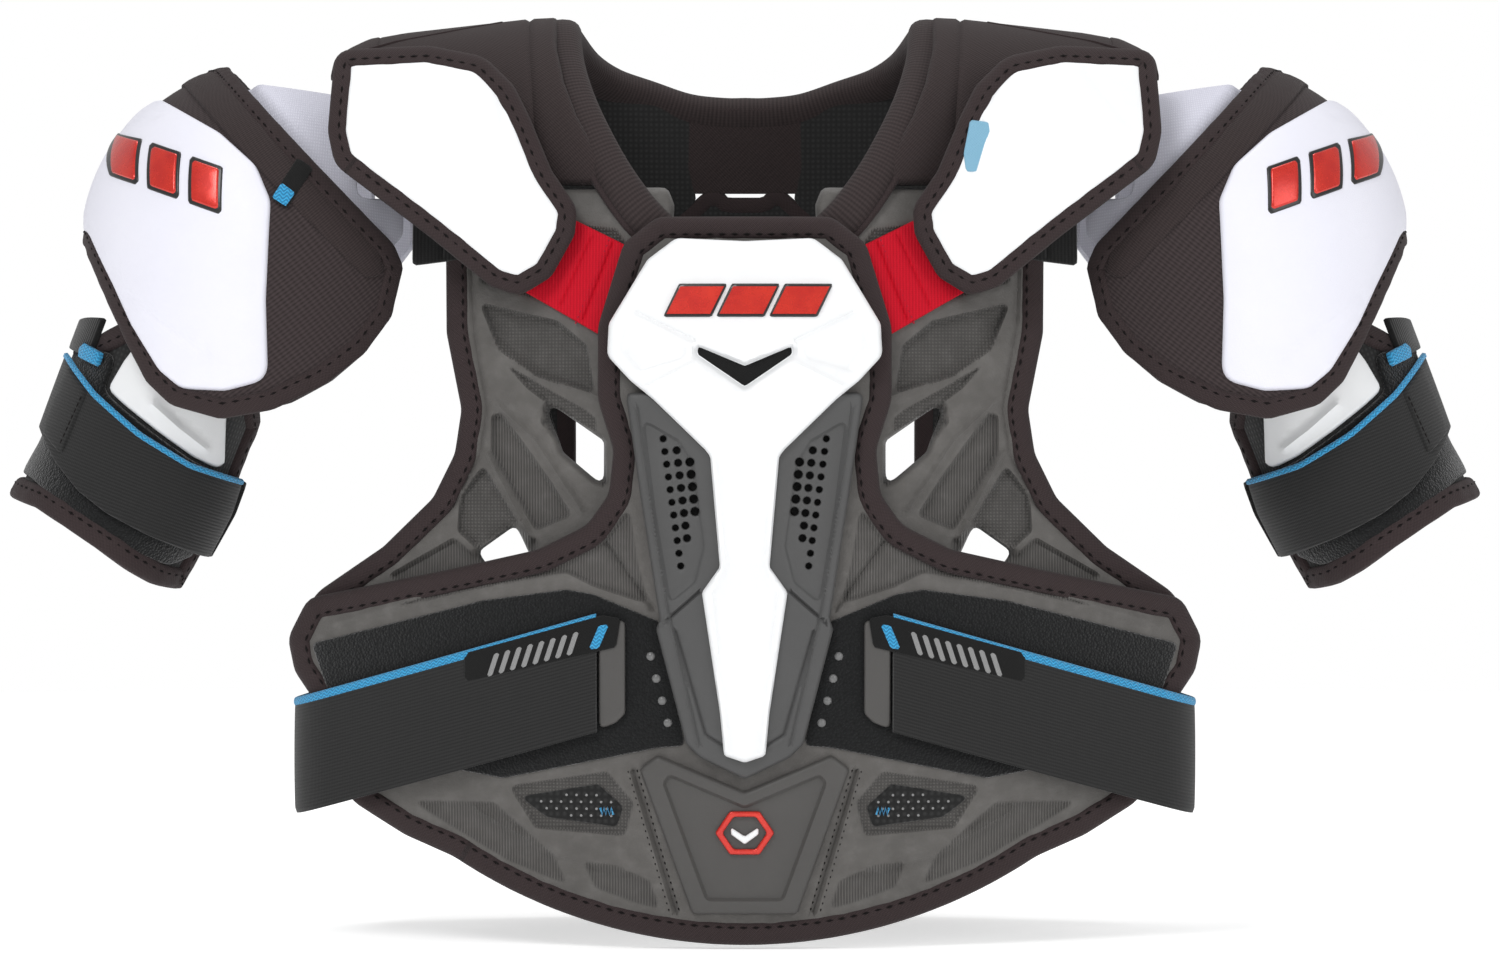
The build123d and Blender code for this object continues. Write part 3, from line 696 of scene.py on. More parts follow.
def cloth_material(name, light, dark, pattern="twill", period=1.2, depth=0.25, sheen=0.25, rough=(0.7, 0.9),
                   specular=0.12, tint=(1, 1, 1)):
    """Woven or knitted cloth."""
    g = Graph(name)
    if pattern == "twill":
        slant = g.math("ADD", g.x, g.y)
        weave = g.math("MULTIPLY_ADD", g.wave(g.math("SUBTRACT", g.x, g.y), period * 1.9), 0.3,
                       g.math("MULTIPLY", g.wave(slant, period), 0.7))
    elif pattern == "ribs":
        weave = g.math("MULTIPLY_ADD", g.wave(g.y, period * 0.6), 0.25,
                       g.math("MULTIPLY", g.wave(g.x, period), 0.75))
    elif pattern == "rows":
        weave = g.math("MULTIPLY_ADD", g.wave(g.x, period * 0.6), 0.25,
                       g.math("MULTIPLY", g.wave(g.y, period), 0.75))
    elif pattern == "mesh":
        weave = g.math("MULTIPLY", g.wave(g.x, period), g.wave(g.y, period))
    elif pattern == "pile":
        weave = g.math("SUBTRACT", 1.0, g.cells(period))
    else:
        shift = g.math("MULTIPLY", g.wave(g.x, period * 2), period * 0.8)
        weave = g.wave(g.math("ADD", g.y, shift), period)
    fibre = g.noise(period * 0.7, 4.0, 0.7)
    height = g.math("MULTIPLY_ADD", fibre, 0.35, g.math("MULTIPLY", weave, 0.65))
    patch_share = g.math("MULTIPLY", g.noise(18.0, 4.0), 0.3)
    base = g.colours(height, dark, light)
    base = g.colours(patch_share, base, tuple(0.5 * (a + b) for a, b in zip(light, dark)))
    return g.done(base, g.between(fibre, *rough), height, depth, specular=specular, sheen=sheen,
                  sheen_tint=tint)


def plastic_material(name, light, dark, rough=(0.28, 0.42), grain=0.05, size=0.8, coords="flat", coat=0.15,
                     specular=0.4, metallic=0.0, through=0.0, broad=40.0):
    """Moulded plastic with a fine grain, faint scuffs and slightly uneven gloss."""
    g = Graph(name, coords)
    fine = g.noise(size, 5.0, 0.6)
    cloud = g.noise(broad, 3.0)
    scuff = g.math("POWER", g.noise(4.0, 6.0, 0.75), 5.0)
    base = g.colours(cloud, dark, light)
    base = g.colours(g.math("MULTIPLY", scuff, 1.5), base, dark)
    gloss = g.math("ADD", g.between(cloud, *rough), g.math("MULTIPLY", scuff, 0.6))
    return g.done(base, gloss, fine, grain, specular=specular, coat=coat, metallic=metallic,
        through=through)


FOAM_LIGHT, FOAM_DARK = grey(0.105, 0.06), grey(0.062, 0.06)
# The worn colour marks random lighter wear; the last colour is the near black of the painted shade in the
# foam's pattern.
FOAM_WORN, FOAM_PAINTED_SHADE = grey(0.19, 0.04), grey(0.008)

foam = foam_material("foam_moulded")
binding = cloth_material("binding_knit", (0.050, 0.036, 0.037), (0.020, 0.014, 0.014), "twill", 1.0,
                         sheen=0.06)
thread = cloth_material("thread_dark", (0.010, 0.008, 0.008), (0.004, 0.003, 0.003), "rows", 0.5, sheen=0.0)
yoke_cloth = cloth_material("yoke_twill", (0.050, 0.037, 0.037), (0.016, 0.012, 0.012), "twill", 1.5,
    sheen=0.06)
gusset_cloth = cloth_material("gusset_twill", (0.062, 0.047, 0.048), (0.012, 0.009, 0.009), "twill", 2.2,
    sheen=0.06)
lining = cloth_material("lining_mesh", grey(0.035), grey(0.010), "mesh", 2.4)
knit = cloth_material("collar_knit", (0.052, 0.039, 0.039), (0.016, 0.012, 0.012), "ribs", 2.0, sheen=0.06)
red_elastic = cloth_material("elastic_red", (0.60, 0.004, 0.020), (0.34, 0.002, 0.010), "ribs", 1.4,
                             sheen=0.1, rough=(0.55, 0.75), tint=(1, 0.3, 0.3))
strap_elastic = cloth_material("elastic_black", grey(0.030), grey(0.010), "rows", 1.5, depth=0.3,
    sheen=0.15)
tether_elastic = cloth_material("elastic_tether", grey(0.016), grey(0.005), "ribs", 1.6)
blue_braid = cloth_material("braid_blue", (0.055, 0.44, 0.80), (0.012, 0.10, 0.22), "zigzag", 1.6,
    depth=0.5)
loop_pile = cloth_material("loop_pile", grey(0.014, -0.05), grey(0.003), "pile", 1.1, depth=0.7,
                           sheen=0.35, rough=(0.85, 1.0), specular=0.04)
vent_mesh = cloth_material("vent_mesh", grey(0.03), grey(0.006), "mesh", 3.0, depth=0.6)
bridge_cloth = cloth_material("bridge_white", (0.70, 0.70, 0.78), (0.50, 0.50, 0.58), "mesh", 1.4,
                              depth=0.15, sheen=0.05, specular=0.2, rough=(0.6, 0.8))
white_shell = plastic_material("shell_white", (0.80, 0.81, 0.82), (0.74, 0.75, 0.76))
cap_white = plastic_material("cap_white", (0.76, 0.76, 0.83), (0.70, 0.70, 0.78), rough=(0.4, 0.55),
                             grain=0.12, size=0.6, coat=0.0)
carrier_rubber = plastic_material("carrier_grey", grey(0.078), grey(0.062), rough=(0.42, 0.55), grain=0.08,
                                  coat=0.0, specular=0.3)
belly_rubber = plastic_material("belly_black", grey(0.075, 0.04), grey(0.058, 0.04), rough=(0.38, 0.5),
                                grain=0.1, coat=0.0, specular=0.3)
EMBLEM = {"light": (0.72, 0.035, 0.012), "dark": (0.42, 0.004, 0.006), "rough": (0.2, 0.3),
    "metallic": 0.35, "broad": 9.0, "coat": 0.5}
emblem_red = plastic_material("emblem_red", **EMBLEM)
emblem_node = plastic_material("emblem_red_cad", coords="object", **EMBLEM)
emblem_dark = plastic_material("emblem_outline", grey(0.012), grey(0.006), coat=0.3)
clear = plastic_material("rivet_clear", grey(0.30), grey(0.20), rough=(0.1, 0.2), through=0.5, coat=0.3)
label_cloth = cloth_material("label_satin", grey(0.012), grey(0.006), "twill", 0.7, sheen=0.1)
label_red = cloth_material("label_red", (0.42, 0.01, 0.035), (0.30, 0.006, 0.02), "twill", 0.7, sheen=0.1)
label_blue = cloth_material("label_blue", (0.25, 0.47, 0.62), (0.17, 0.36, 0.50), "twill", 0.7, sheen=0.1)
label_grey = cloth_material("label_grey", grey(0.30), grey(0.2), "twill", 0.7, sheen=0.1)


# ---- Turning shapes into pieces
SHARP = radians(48)     # edges turned more than this are drawn sharp


def piece(name, s, material, body, slot, replaces=(), fill=None, side=1, inner=None):
    """Make one object from a shape, riding a body.  `inner` is the material of its underside."""
    verts = s["verts"] * MM * np.array([side, 1, 1])
    mesh = bpy.data.meshes.new(name)
    mesh.from_pydata(verts.tolist(), [], [list(f) for f in s["faces"]])
    built = bmesh.new()
    built.from_mesh(mesh)
    bmesh.ops.recalc_face_normals(built, faces=built.faces)
    built.to_mesh(mesh)
    built.free()
    flat = mesh.attributes.new("flat", "FLOAT_VECTOR", "POINT")
    flat.data.foreach_set("vector", np.ascontiguousarray(s["flat"], np.float32).ravel())
    mask = mesh.attributes.new("mask", "FLOAT", "POINT")
    mask.data.foreach_set("value", np.ascontiguousarray(s["mask"], np.float32))
    mesh.shade_smooth()
    mesh.set_sharp_from_angle(angle=SHARP)
    mesh.materials.append(material)
    if inner:
        mesh.materials.append(inner)
        under = s["mask"] < 0
        mesh.polygons.foreach_set("material_index", [int(under[list(f)].all()) for f in s["faces"]])
    obj = bpy.data.objects.new(name, mesh)
    bpy.context.scene.collection.objects.link(obj)
    if body:
        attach(obj, body)
    if replaces:
        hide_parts(*replaces)
    return obj


SIDES = (("left", 1), ("right", -1))


def pair(name, s, material, body, slot, replaces=(), fill=None, inner=None):
    """Make a piece on the wearer's left and its mirror image on the right."""
    made = []
    for word, side in SIDES:
        body_name = f"{body}_{word}" if body and body not in ("vest", "sternum_guard") else body
        made.append(piece(f"{name}_{word}", s, material, body_name, slot,
                          [f"{node}_{word}" for node in replaces], fill, side, inner=inner))
    return made


def taped(name, outline, at, tape, body, closed=True, wrinkle=0.05, make=pair):
    """A binding round an outline; tape is its width, foot and top."""
    make(f"{name}_binding", swept(outline, at, tape_section(*tape), closed, wrinkle), binding, body,
         "binding")


def bound(name, outline, at, tape, inset, height, body, closed=True, wrinkle=0.05, make=pair):
    """A binding and its row of stitches, inset from the outline at a height."""
    taped(name, outline, at, tape, body, closed, wrinkle, make)
    line = outline + inward(outline, closed) * inset
    make(f"{name}_stitches", stitched(line, at, height, closed), thread, body, "binding")


DEEPER = 1.5        # how much deeper than drawn the relief is cut


def relief_of(fields=(), ridges=(), puff=0.0, puff_reach=16.0):
    """Height and mask over a panel: sunk fields, raised or cut lines, and a soft crown.

    A field is (outline, depth, bevel, mask); a ridge is (line, height, half width).
    """
    sunk = [(rounded(outline, 3.0, 1.6), depth, bevel, value) for outline, depth, bevel, value in fields]
    lines = [(resample(line, 2.0, closed=False), height, half) for line, height, half in ridges]

    def relief(p, far):
        added, mask = puff * step_up(far / puff_reach), np.zeros(len(p))
        for loop, depth, bevel, value in sunk:
            within, d = inside(p, loop), distance(p, loop)
            added -= DEEPER * depth * step_up(np.where(within, d, 0) / bevel)
            mask = np.where(within & (d > bevel * 0.4), value, mask)
        for line, height, half in lines:
            added += DEEPER * height * (1 - step_up(distance(p, line, closed=False) / half))
        return added, mask

    guides = []
    for loop, depth, bevel, value in sunk:
        guides += [loop, (loop + inward(loop) * bevel * 0.5), (loop + inward(loop) * bevel)]
    for line, height, half in lines:
        normal = inward(line, closed=False)
        guides += [line] + [line + normal * half * share for share in (-1, -0.5, 0.5, 1)]
    relief.guides = guides
    return relief


# ---- Outlines, as (x, z) on the wearer's left
SIDE_PANEL = [(132, -48), (131, -112), (124, -146), (127, -166), (137, -186), (160, -208), (193, -230),
              (200, -250), (150, -262), (60, -240), (42, -200), (42, -71), (32, -69), (31, -56), (34, -48)]
CHEST_VENT = [(88, -142), (62, -160), (62, -180), (80, -165)]
WING_VENT = [(118, -209), (101, -197), (94, -212), (110, -220)]
STERNUM_LINER = [(30, -72), (40, -84), (40, -212), (12, -220)]
CENTRE_EDGE = [(38, -63, 8), (52, -74, 10), (63, -110, 20), (63, -142, 20), (56, -164, 14), (58, -184, 14),
               (68, -198, 16), (90, -209, 20), (130, -218, 20), (194, -231, 9), (203, -248, 10),
               (200, -262, 10), (190, -276, 12), (183, -308, 10), (172, -320, 14), (150, -333, 20),
               (128, -342, 30)]
HEM_RADIUS, HEM_HALF, HEM_Z = 237.2, 128.0, -379.5
BELLY_EDGE = [(0, -313), (38, -297), (46, -303), (23, -367), (0, -367)]
BELLY_VENT = [(99, -316), (64, -310), (53, -320), (56, -329), (87, -325)]
LOOP_PATCH = [(193, -250), (115, -230), (78, -225), (66, -227), (37, -239), (26, -293), (38, -294),
              (106, -308), (136, -303), (180, -286)]
STERNUM_ELASTIC = [(53.5, -78), (78, -61), (101, -92), (68, -115)]
CAP_TETHER = [(120, -53), (148, -56), (148, -82), (120, -79)]
CARRIER_EDGE = [(0, -142), (40, -139), (52, -139), (45.6, -183), (37, -238), (38.6, -242), (25.6, -292),
                (19.5, -298), (0, -307.5)]
BACKING_EDGE = [(0, -77), (28, -75.5), (38, -84), (54, -110), (54, -121), (45, -133), (0, -138)]
STERNUM_EDGE = [(0, -73), (30, -71.6, 6), (42.4, -81, 6), (59.3, -109, 5), (60, -123, 6), (49.8, -134, 4),
                (40, -142, 4), (17.3, -164, 3), (15, -167, 3), (10.8, -215, 2), (18.6, -226, 2),
                (10.8, -278, 3), (9, -297, 2), (0, -300)]
STERNUM_SLOT = [(20.5, -119), (0, -127.6), (-20.5, -119), (-20.5, -122.5), (0, -136.5), (20.5, -122.5)]
STRAP_TAB = [(52, -238), (63.6, -240), (63.6, -286), (56, -283), (52, -279)]
CLAVICLE_EDGE = [(179, -38), (182, -24), (180, 12, 7), (140, 14), (116, 9, 14), (103, -4), (96, -18),
    (86, -42), (75, -58, 10), (76, -69, 8), (86, -87, 8), (99, -95, 8), (111, -91, 8), (138, -69)]
CAP_OUTER = [(264, -133), (273, -117), (283, -98), (298, -70), (312, -58), (330, -54), (330, 40)]
CAP_EDGE = [(252, 40), (241, 16), (198, -30), (157, -73, 6), (153, -82, 4), (158, -104), (169, -120),
    (186, -134), (208, -145), (231, -149), (253, -143)] + CAP_OUTER
CAP_REAR = [(252, 40), (241, 16), (204, -26), (167, -70), (162, -81), (168, -103), (179, -117), (195, -130),
            (214, -140), (233, -144), (252, -142)] + CAP_OUTER
CAP_SHELL_EDGE = [(300, 16), (266, -4), (233, -23), (216, -38), (209, -54), (211, -98), (210, -133),
                  (229, -138), (249, -137), (259, -129), (272, -109), (281, -91), (294, -68), (312, -52),
                  (330, -52), (330, 16)]
GUARD_LINER_EDGE = [(228, -98), (258, -98), (290, -114), (345, -114), (345, -178), (332, -184),
    (317, -188.5), (303, -197), (289, -206.5), (276, -216.5), (266, -223), (257, -225.5), (249, -222.5),
    (241, -213.5), (232, -196), (226, -177), (222, -146), (221, -110)]
GUARD_SHELL_EDGE = [(256, -100), (268, -111), (278, -124), (285.4, -136.5), (278, -143), (262, -155.5),
                    (246.5, -167), (234, -174), (232, -147), (229, -106)]
GUARD_ADJUSTER = [(300.5, -104.5), (287, -104.5), (294, -122.5), (305.5, -118)]
GUARD_PATCH_EDGE = [(345, -116), (300, -116), (281.5, -121), (287.5, -136.9), (278.8, -144.6),
    (262.8, -157.1), (247.2, -168.6), (236, -174.9), (236, -195.3), (246, -210), (259, -216), (276, -208),
    (289, -200), (306, -187.5), (322, -176), (345, -168)]
GUARD_STRAP_EDGE = [(306, -122), (291, -139), (270, -157), (248, -171), (215, -183), (215, -216),
    (244, -212.5), (266.6, -202), (284.5, -192), (298, -181.7), (309, -169), (319, -154), (335, -138),
    (335, -104)]
BRIDGE_EDGE = [(168.4, 40), (168.4, -49.5), (147, -49.5), (147, -68), (162, -86), (176, -80), (222, -28),
               (250, 10), (250, 40)]
NECK_BRIDGE = [(27.5, -4), (27.5, -43), (-27.5, -43), (-27.5, -4)]
SPINE_PAD = [(0, -46), (9, -46), (11, -43), (18, -43), (33, -56), (52, -104), (60, -130), (58, -196),
    (0, -196)]
SPINE_SHIELD = [(0, -70), (16, -76), (30, -120), (34, -190), (0, -194)]
LUMBAR_EDGE = [(60, -198), (104, -214), (164, -262), (167, -326), (110, -344), (50, -351)]
STRAP_ANCHOR = [(140, -279), (164, -279), (164, -321), (140, -321)]


def hem_arc():
    """The centre panel's lower edge, from the left wing to the right."""
    xs = np.linspace(HEM_HALF, -HEM_HALF, 41)[1:-1]
    return [(x, HEM_Z + HEM_RADIUS - sqrt(HEM_RADIUS ** 2 - x * x)) for x in xs]


# ---- Upper chest: the two side panels
VENT_RING = [(89, -140), (73, -153), (60, -159), (59, -184), (76, -170), (90, -152)]
side_relief = relief_of(
    fields=[([(118, -98), (82, -107), (69, -118), (65, -140), (92, -132), (109, -120)], 2.6, 2.2, 2.0),
            ([(108, -124), (88, -136), (70, -146), (65, -150), (64, -158), (88, -143), (96, -137)],
             1.6, 2.0, 2.0),
            (VENT_RING, 4.2, 4.0, 2.0),
            ([(112, -148), (107, -147), (86, -176), (75, -193), (92, -200), (112, -166)], 2.4, 2.0, 1.0),
            ([(115, -170), (101, -193), (98, -196), (118, -208), (127, -200), (126, -184)], 2.4, 2.0, 2.0),
            ([(128, -202), (120, -209), (104, -204), (98, -198), (90, -204), (92, -214), (112, -222),
              (150, -226), (160, -220)], 1.8, 2.4, 1.0),
            ([(116, -60), (56, -66), (50, -76), (56, -96), (84, -100), (118, -90)], 1.4, 3.0, 2.0)],
    ridges=[([(113, -166), (94, -203)], 1.6, 2.2), ([(110, -116), (90, -131), (63, -141)], 1.5, 3.0),
            ([(110, -143), (92, -160), (72, -190)], 1.4, 2.6),
            ([(122, -60), (120, -112), (114, -146), (117, -166), (128, -188), (152, -210)], -0.9, 1.6)],
    puff=0.9)
pair("chest_foam", patch(rounded(SIDE_PANEL, 4, 2.2), chest, SIDE_FOAM, cell=2.5, edge=3.0,
    holes=[rounded(CHEST_VENT, 3, 1.6), rounded(WING_VENT, 3, 1.6)], relief=side_relief), foam, "vest",
    "moulded_foam", ["side_panel"], fill=0.8, inner=lining)

arm_edge = rounded([(198, -252), (193, -230), (160, -208), (137, -186), (127, -166), (124, -146),
                    (131, -112), (132, -49)], 16, 1.8, closed=False)
bound("chest", arm_edge, chest, (9.0, -0.6, 12.4), 6.4, 12.5, "vest", closed=False)

# ---- Centre panel with its wings and belly
centre_outline = rounded(both_sides(CENTRE_EDGE) + hem_arc(), 4, 2.4)
BELLY_FACET = [(110, -318), (150, -318), (128, -331), (104, -345), (76, -356), (84, -340)]


centre_relief = relief_of(fields=both([([(50, -188), (46, -214), (41, -232), (66, -224), (78, -218),
    (121, -226), (176, -239), (186, -244), (122, -221), (86, -213), (62, -203)], 1.6, 2.0, 1.0),
    ([(104, -311), (60, -304), (48, -318), (52, -333), (92, -330)], 1.6, 2.4, 2.0),
    (BELLY_FACET, 1.3, 2.5, 1.0), ([(56, -345), (72, -343), (66, -356), (50, -362), (36, -366), (41, -352)],
    1.2, 2.4, 1.0)]), ridges=both([([(61, -204), (40, -233)], -1.3, 2.0),
    ([(48.5, -304), (30, -366)], -1.6, 1.8), ([(57, -150), (52, -164), (54, -184)], -0.8, 2.0),
    ([(184, -242), (150, -231), (118, -225), (92, -216)], 0.8, 3.0), ([(118, -322), (84, -341), (52, -349)],
    1.2, 2.6)]), puff=0.5)
centre = patch(centre_outline, chest, CENTRE, cell=2.6, edge=2.5, relief=centre_relief)
piece("centre_foam", centre, foam, "vest", "moulded_foam", ["centre_panel"], fill=0.8, inner=lining)
bound("centre", centre_outline, chest, (9.2, 10.4, 22.2), 6.6, 22.3, "vest", make=piece)

# Belly shield: a raised bevelled rim round a flat middle.
belly_outline = rounded(both_sides(BELLY_EDGE), 2.5, 1.6)
belly_relief = relief_of(
    fields=[(both_sides([(0, -319), (33, -305), (36, -309), (17, -361), (0, -361)]), 1.3, 1.4, 0.0)])
piece("belly_shield", patch(belly_outline, chest, BELLY_RUBBER, cell=2.6, edge=2.4, relief=belly_relief),
    belly_rubber, "vest", "belly_black", ["belly_plate"])
seams = [stitched(ends, chest, 21.0, closed=False, length=1.6, pitch=3.0, width=0.9)
         for ends in ([(51, -304), (33, -366)], [(47, -303.5), (28.5, -366)])]
pair("belly_seam", joined(seams), thread, "vest", "binding")

# Belly mark: a plain hexagon ring with a chevron in it.
def hexagon(wide, tall):
    """The belly mark's outline at a size, from its middle to its points."""
    return [(wide * cos(radians(a)), -331 + tall * sin(radians(a))) for a in range(0, 360, 60)]


ring = patch(rounded(hexagon(13, 11), 1.0, 1.2), chest, MARK_RING, cell=2, edge=0.9,
             holes=[rounded(hexagon(9.6, 8.1), 1, 1.2)])
piece("belly_mark_ring", ring, emblem_red, "vest", "emblem_red")
chevron = [(-6, -328.5), (0, -332.5), (6, -328.5), (6, -331.6), (0, -336), (-6, -331.6)]
piece("belly_mark_chevron", patch(rounded(chevron, 0.6, 1.0), chest, MARK_CHEVRON, cell=2, edge=0.8),
    white_shell, "vest", "shell_white")

# Belly windows: a perforated mesh and a blue thread.
pair("belly_window", patch(rounded(BELLY_VENT, 2, 1.6), chest, BELLY_MESH, cell=2.4, edge=1.0), vent_mesh,
    "vest", "mesh", ["belly_vent"])
vent_dots = [(x + (row % 2) * 2.4, z) for row, z in enumerate(np.arange(-327, -311, 3.0))
             for x in np.arange(56, 97, 4.4)]
vent_zone = rounded([(95, -317.5), (65, -312.5), (56, -320), (58, -327), (86, -323)], 2, 1.6)
vent_dots = [d for d in vent_dots if inside(np.array([d]), vent_zone)[0]]


pair("belly_window_dots", dots(vent_dots, chest, 19.5, 0.7, 0.3, 6), label_grey, "vest", "mesh")


pair("belly_zigzag", strand([(57.5 + 0.8 * k, -323.5 + 3 * (k % 2)) for k in range(8)], chest, 20.0, 0.6),
     blue_braid, "vest", "elastic_black")

# Loop fields with their rivets.
loop = patch(rounded(LOOP_PATCH, 2.5, 2), chest, LOOP_CLOTH, cell=3.0, edge=1.0,
             relief=relief_of(puff=0.3, puff_reach=6))
pair("loop_field", loop, loop_pile, "vest", "loop_fabric", ["loop_patch"])
rivets = [(41.0 - 7.5 * k / 3, -254.0 - 29.0 * k / 3) for k in range(4)]
rivets += [(-x, z) for x, z in rivets]
piece("rivet_heads", dots(rivets, chest, 22.3, 2.1, 1.3, 14), clear, "vest", "rivet_clear", ["loop_rivets"])

piece("sternum_foam", patch(rounded(both_sides(STERNUM_LINER), 4, 2.6), chest, FOAM, cell=5, edge=3.0),
    foam, "vest", "moulded_foam", ["sternum_liner"], fill=0.8, inner=lining)

# ---- Sternum guard
HOLE_COLUMNS = [(11, 1.35, (35.5, -159.3), (27.8, -214.6)), (8, 1.6, (29.6, -164.3), (25.1, -202.5)),
                (5, 1.85, (23.8, -169.4), (21.6, -190.9))]


holes = []
for count, radius, top, foot in HOLE_COLUMNS:
    for k in range(count):
        x, z = (top[i] + (foot[i] - top[i]) * k / (count - 1) for i in (0, 1))
        holes += [circle(x, z, radius), circle(-x, z, radius)]
carrier_relief = relief_of(
    fields=both([([(45, -150), (40, -190), (33, -232), (21, -222), (17, -206), (22, -170), (28, -160)],
                  0.9, 1.2, 0.0)]),
    ridges=both([([(47, -146), (41, -187), (33.5, -234), (20, -292)], 0.7, 0.9),
                 ([(20, -226), (36, -240)], -1.1, 1.0),
                 ([(30, -243), (17, -288), (0, -298)], -0.8, 1.2)]))
carrier = patch(rounded(both_sides(CARRIER_EDGE), 3, 1.8), chest, CARRIER, cell=2.6, edge=2.2,
                holes=holes, relief=carrier_relief, hole_edge=0.5)
# A thin near-black sheet under the carrier's holes: painted shade that keeps the holes dark.
pair("sternum_hole_shade_sheet", patch(rounded([(45, -152), (41, -190), (36, -222), (22, -216), (19, -166)], 3, 2),
    chest, HOLE_SHADE_SHEET, cell=5, edge=0.4), label_cloth, "sternum_guard", "carrier_grey")
piece("sternum_moulding", carrier, carrier_rubber, "sternum_guard", "carrier_grey", ["sternum_carrier"])
piece("sternum_backing_pad", patch(rounded(both_sides(BACKING_EDGE), 5, 2), chest, BACKING, cell=4,
    edge=2.0), belly_rubber, "sternum_guard", "carrier_grey", ["sternum_backing"], fill=0.8)
cap_relief = relief_of(fields=both([([(52, -110), (54, -121), (46, -131), (26, -125), (24, -119)], 0.9, 2.2,
    0.0)]) + [([(23.5, -116.5), (0, -125.6), (-23.5, -116.5), (-23, -124), (0, -139.5), (23, -124)], 1.2,
    1.8, 0.0)], ridges=both([([(47, -104), (22, -116)], -0.9, 1.8), ([(44, -137), (22, -126)], 0.8, 2.2),
    ([(13, -168), (8, -214), (14, -226), (9, -276), (7, -294)], -0.6, 1.6)]) + [([(0, -142), (0, -296)],
    0.5, 7.0)], puff=0.3)
piece("sternum_shell", patch(rounded(both_sides(STERNUM_EDGE), 3, 1.5), chest, BREAST_SHELL, cell=2.4,
    edge=2.6, holes=[rounded(STERNUM_SLOT, 1.5, 1.2)], relief=cap_relief), white_shell, "sternum_guard",
    "shell_white", ["sternum_cap"])
piece("sternum_slot_floor", patch(rounded([(25, -114), (0, -122), (-25, -114), (-25, -126), (0, -142),
    (25, -126)], 3, 2), chest, SLOT_FLOOR, cell=4, edge=0.5), label_cloth, "sternum_guard", "carrier_grey")
outline_bars = [patch(rounded([(-35.6 + dx, -106.3), (-28.6 + dx, -91.7), (-7.4 + dx, -91.7),
                               (-14.4 + dx, -106.3)], 0.8, 1.2), chest, BAR_EDGE, cell=2.5, edge=0.6)
                for dx in (0, 23, 46)]

# ---- Elastics on the chest
elastic = patch(rounded([(50, -75)] + STERNUM_ELASTIC[1:3] + [(63, -114)], 1.5, 2), chest, ELASTIC,
    cell=2.6, edge=0.8, relief=relief_of(ridges=[([(58, -73), (73, -112)], -0.7, 1.2),
    ([(66, -66), (82, -102)], -0.5, 1.0)], puff=0.3))
red = pair("red_elastic", elastic, red_elastic, None, "elastic_red", ["sternum_elastic"])
for obj, (word, side) in zip(red, SIDES):
    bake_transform(obj)
pair("red_elastic_seam", stitched([(59.5, -71), (75, -110)], chest, 13.3, closed=False, length=1.6,
                                  pitch=2.6), label_red, "vest", "elastic_red")

pair("cap_tether_web", patch(rounded(CAP_TETHER, 2, 2), chest, TETHER, cell=2.8, edge=1.0,
    relief=relief_of(ridges=[([(134, -52), (134, -82)], -0.5, 1.4)])), tether_elastic, "vest",
    "elastic_black", ["cap_tether"])

# ---- Clavicle guards
clavicle_outline = rounded(CLAVICLE_EDGE, 12, 2)
pair("clavicle_cushion", patch(clavicle_outline, clavicle, CLAVICLE_PAD, cell=3.2, edge=2.5), lining,
    "clavicle", "moulded_foam", ["clavicle_pad"], fill=0.8)
bound("clavicle", clavicle_outline, clavicle, (8.4, -0.6, 8.6), 3.6, 8.65, "clavicle")
shell_outline = resample(clavicle_outline + inward(clavicle_outline) * 6.2, 2)
shell_relief = relief_of(ridges=[([(112, 2), (108, -10), (99, -44), (104, -68)], -0.5, 2.4),
                                 ([(150, 4), (168, -20)], -0.4, 3.0)], puff=1.0, puff_reach=12)
pair("clavicle_plate", patch(shell_outline, clavicle, CLAVICLE_SHELL, cell=2.6, edge=2.0,
    relief=shell_relief), white_shell, "clavicle", "shell_white", ["clavicle_shell"])
piece("clavicle_tab", patch(rounded([(99, -19), (107, -20), (111, -38), (105, -42), (97, -42), (96, -34)],
    1.2, 1.5), clavicle, CLAVICLE_TAB, cell=3, edge=0.5), label_blue, "clavicle_left", "binding")


# ---- Shoulder caps
def dome_line(points, radius=5.0, step=2.0):
    """The part of an outline seen from the front that lies on the dome, in the dome's flat coordinates."""
    dense = rounded(points, radius, step)
    seen = []
    for x, z in dense:
        rel = np.array([x - JOINT[0], 0.0, z - JOINT[2]])
        a, s = float(rel @ CAP_ACROSS), float(rel @ CAP_DOWN)
        r = CAP_R + 3.7
        limit = sqrt(max(r * r - min(s, 0.0) ** 2, 0.0))
        seen.append(abs(a) < limit)
    seen = np.array(seen)
    start = next(i for i in range(len(dense)) if seen[i] and not seen[i - 1])
    order = [(start + i) % len(dense) for i in range(len(dense))]
    return np.array([dome_flat(*dense[i]) for i in order if seen[i]])


def dome_outline(points, radius=5.0, step=2.0, rear=None):
    """An outline on the dome, front and back alike unless the rear has its own."""
    front, behind = dome_line(points, radius, step), dome_line(rear or points, radius, step)
    return resample(np.vstack([front, behind[::-1] * [-1, 1]]), step)


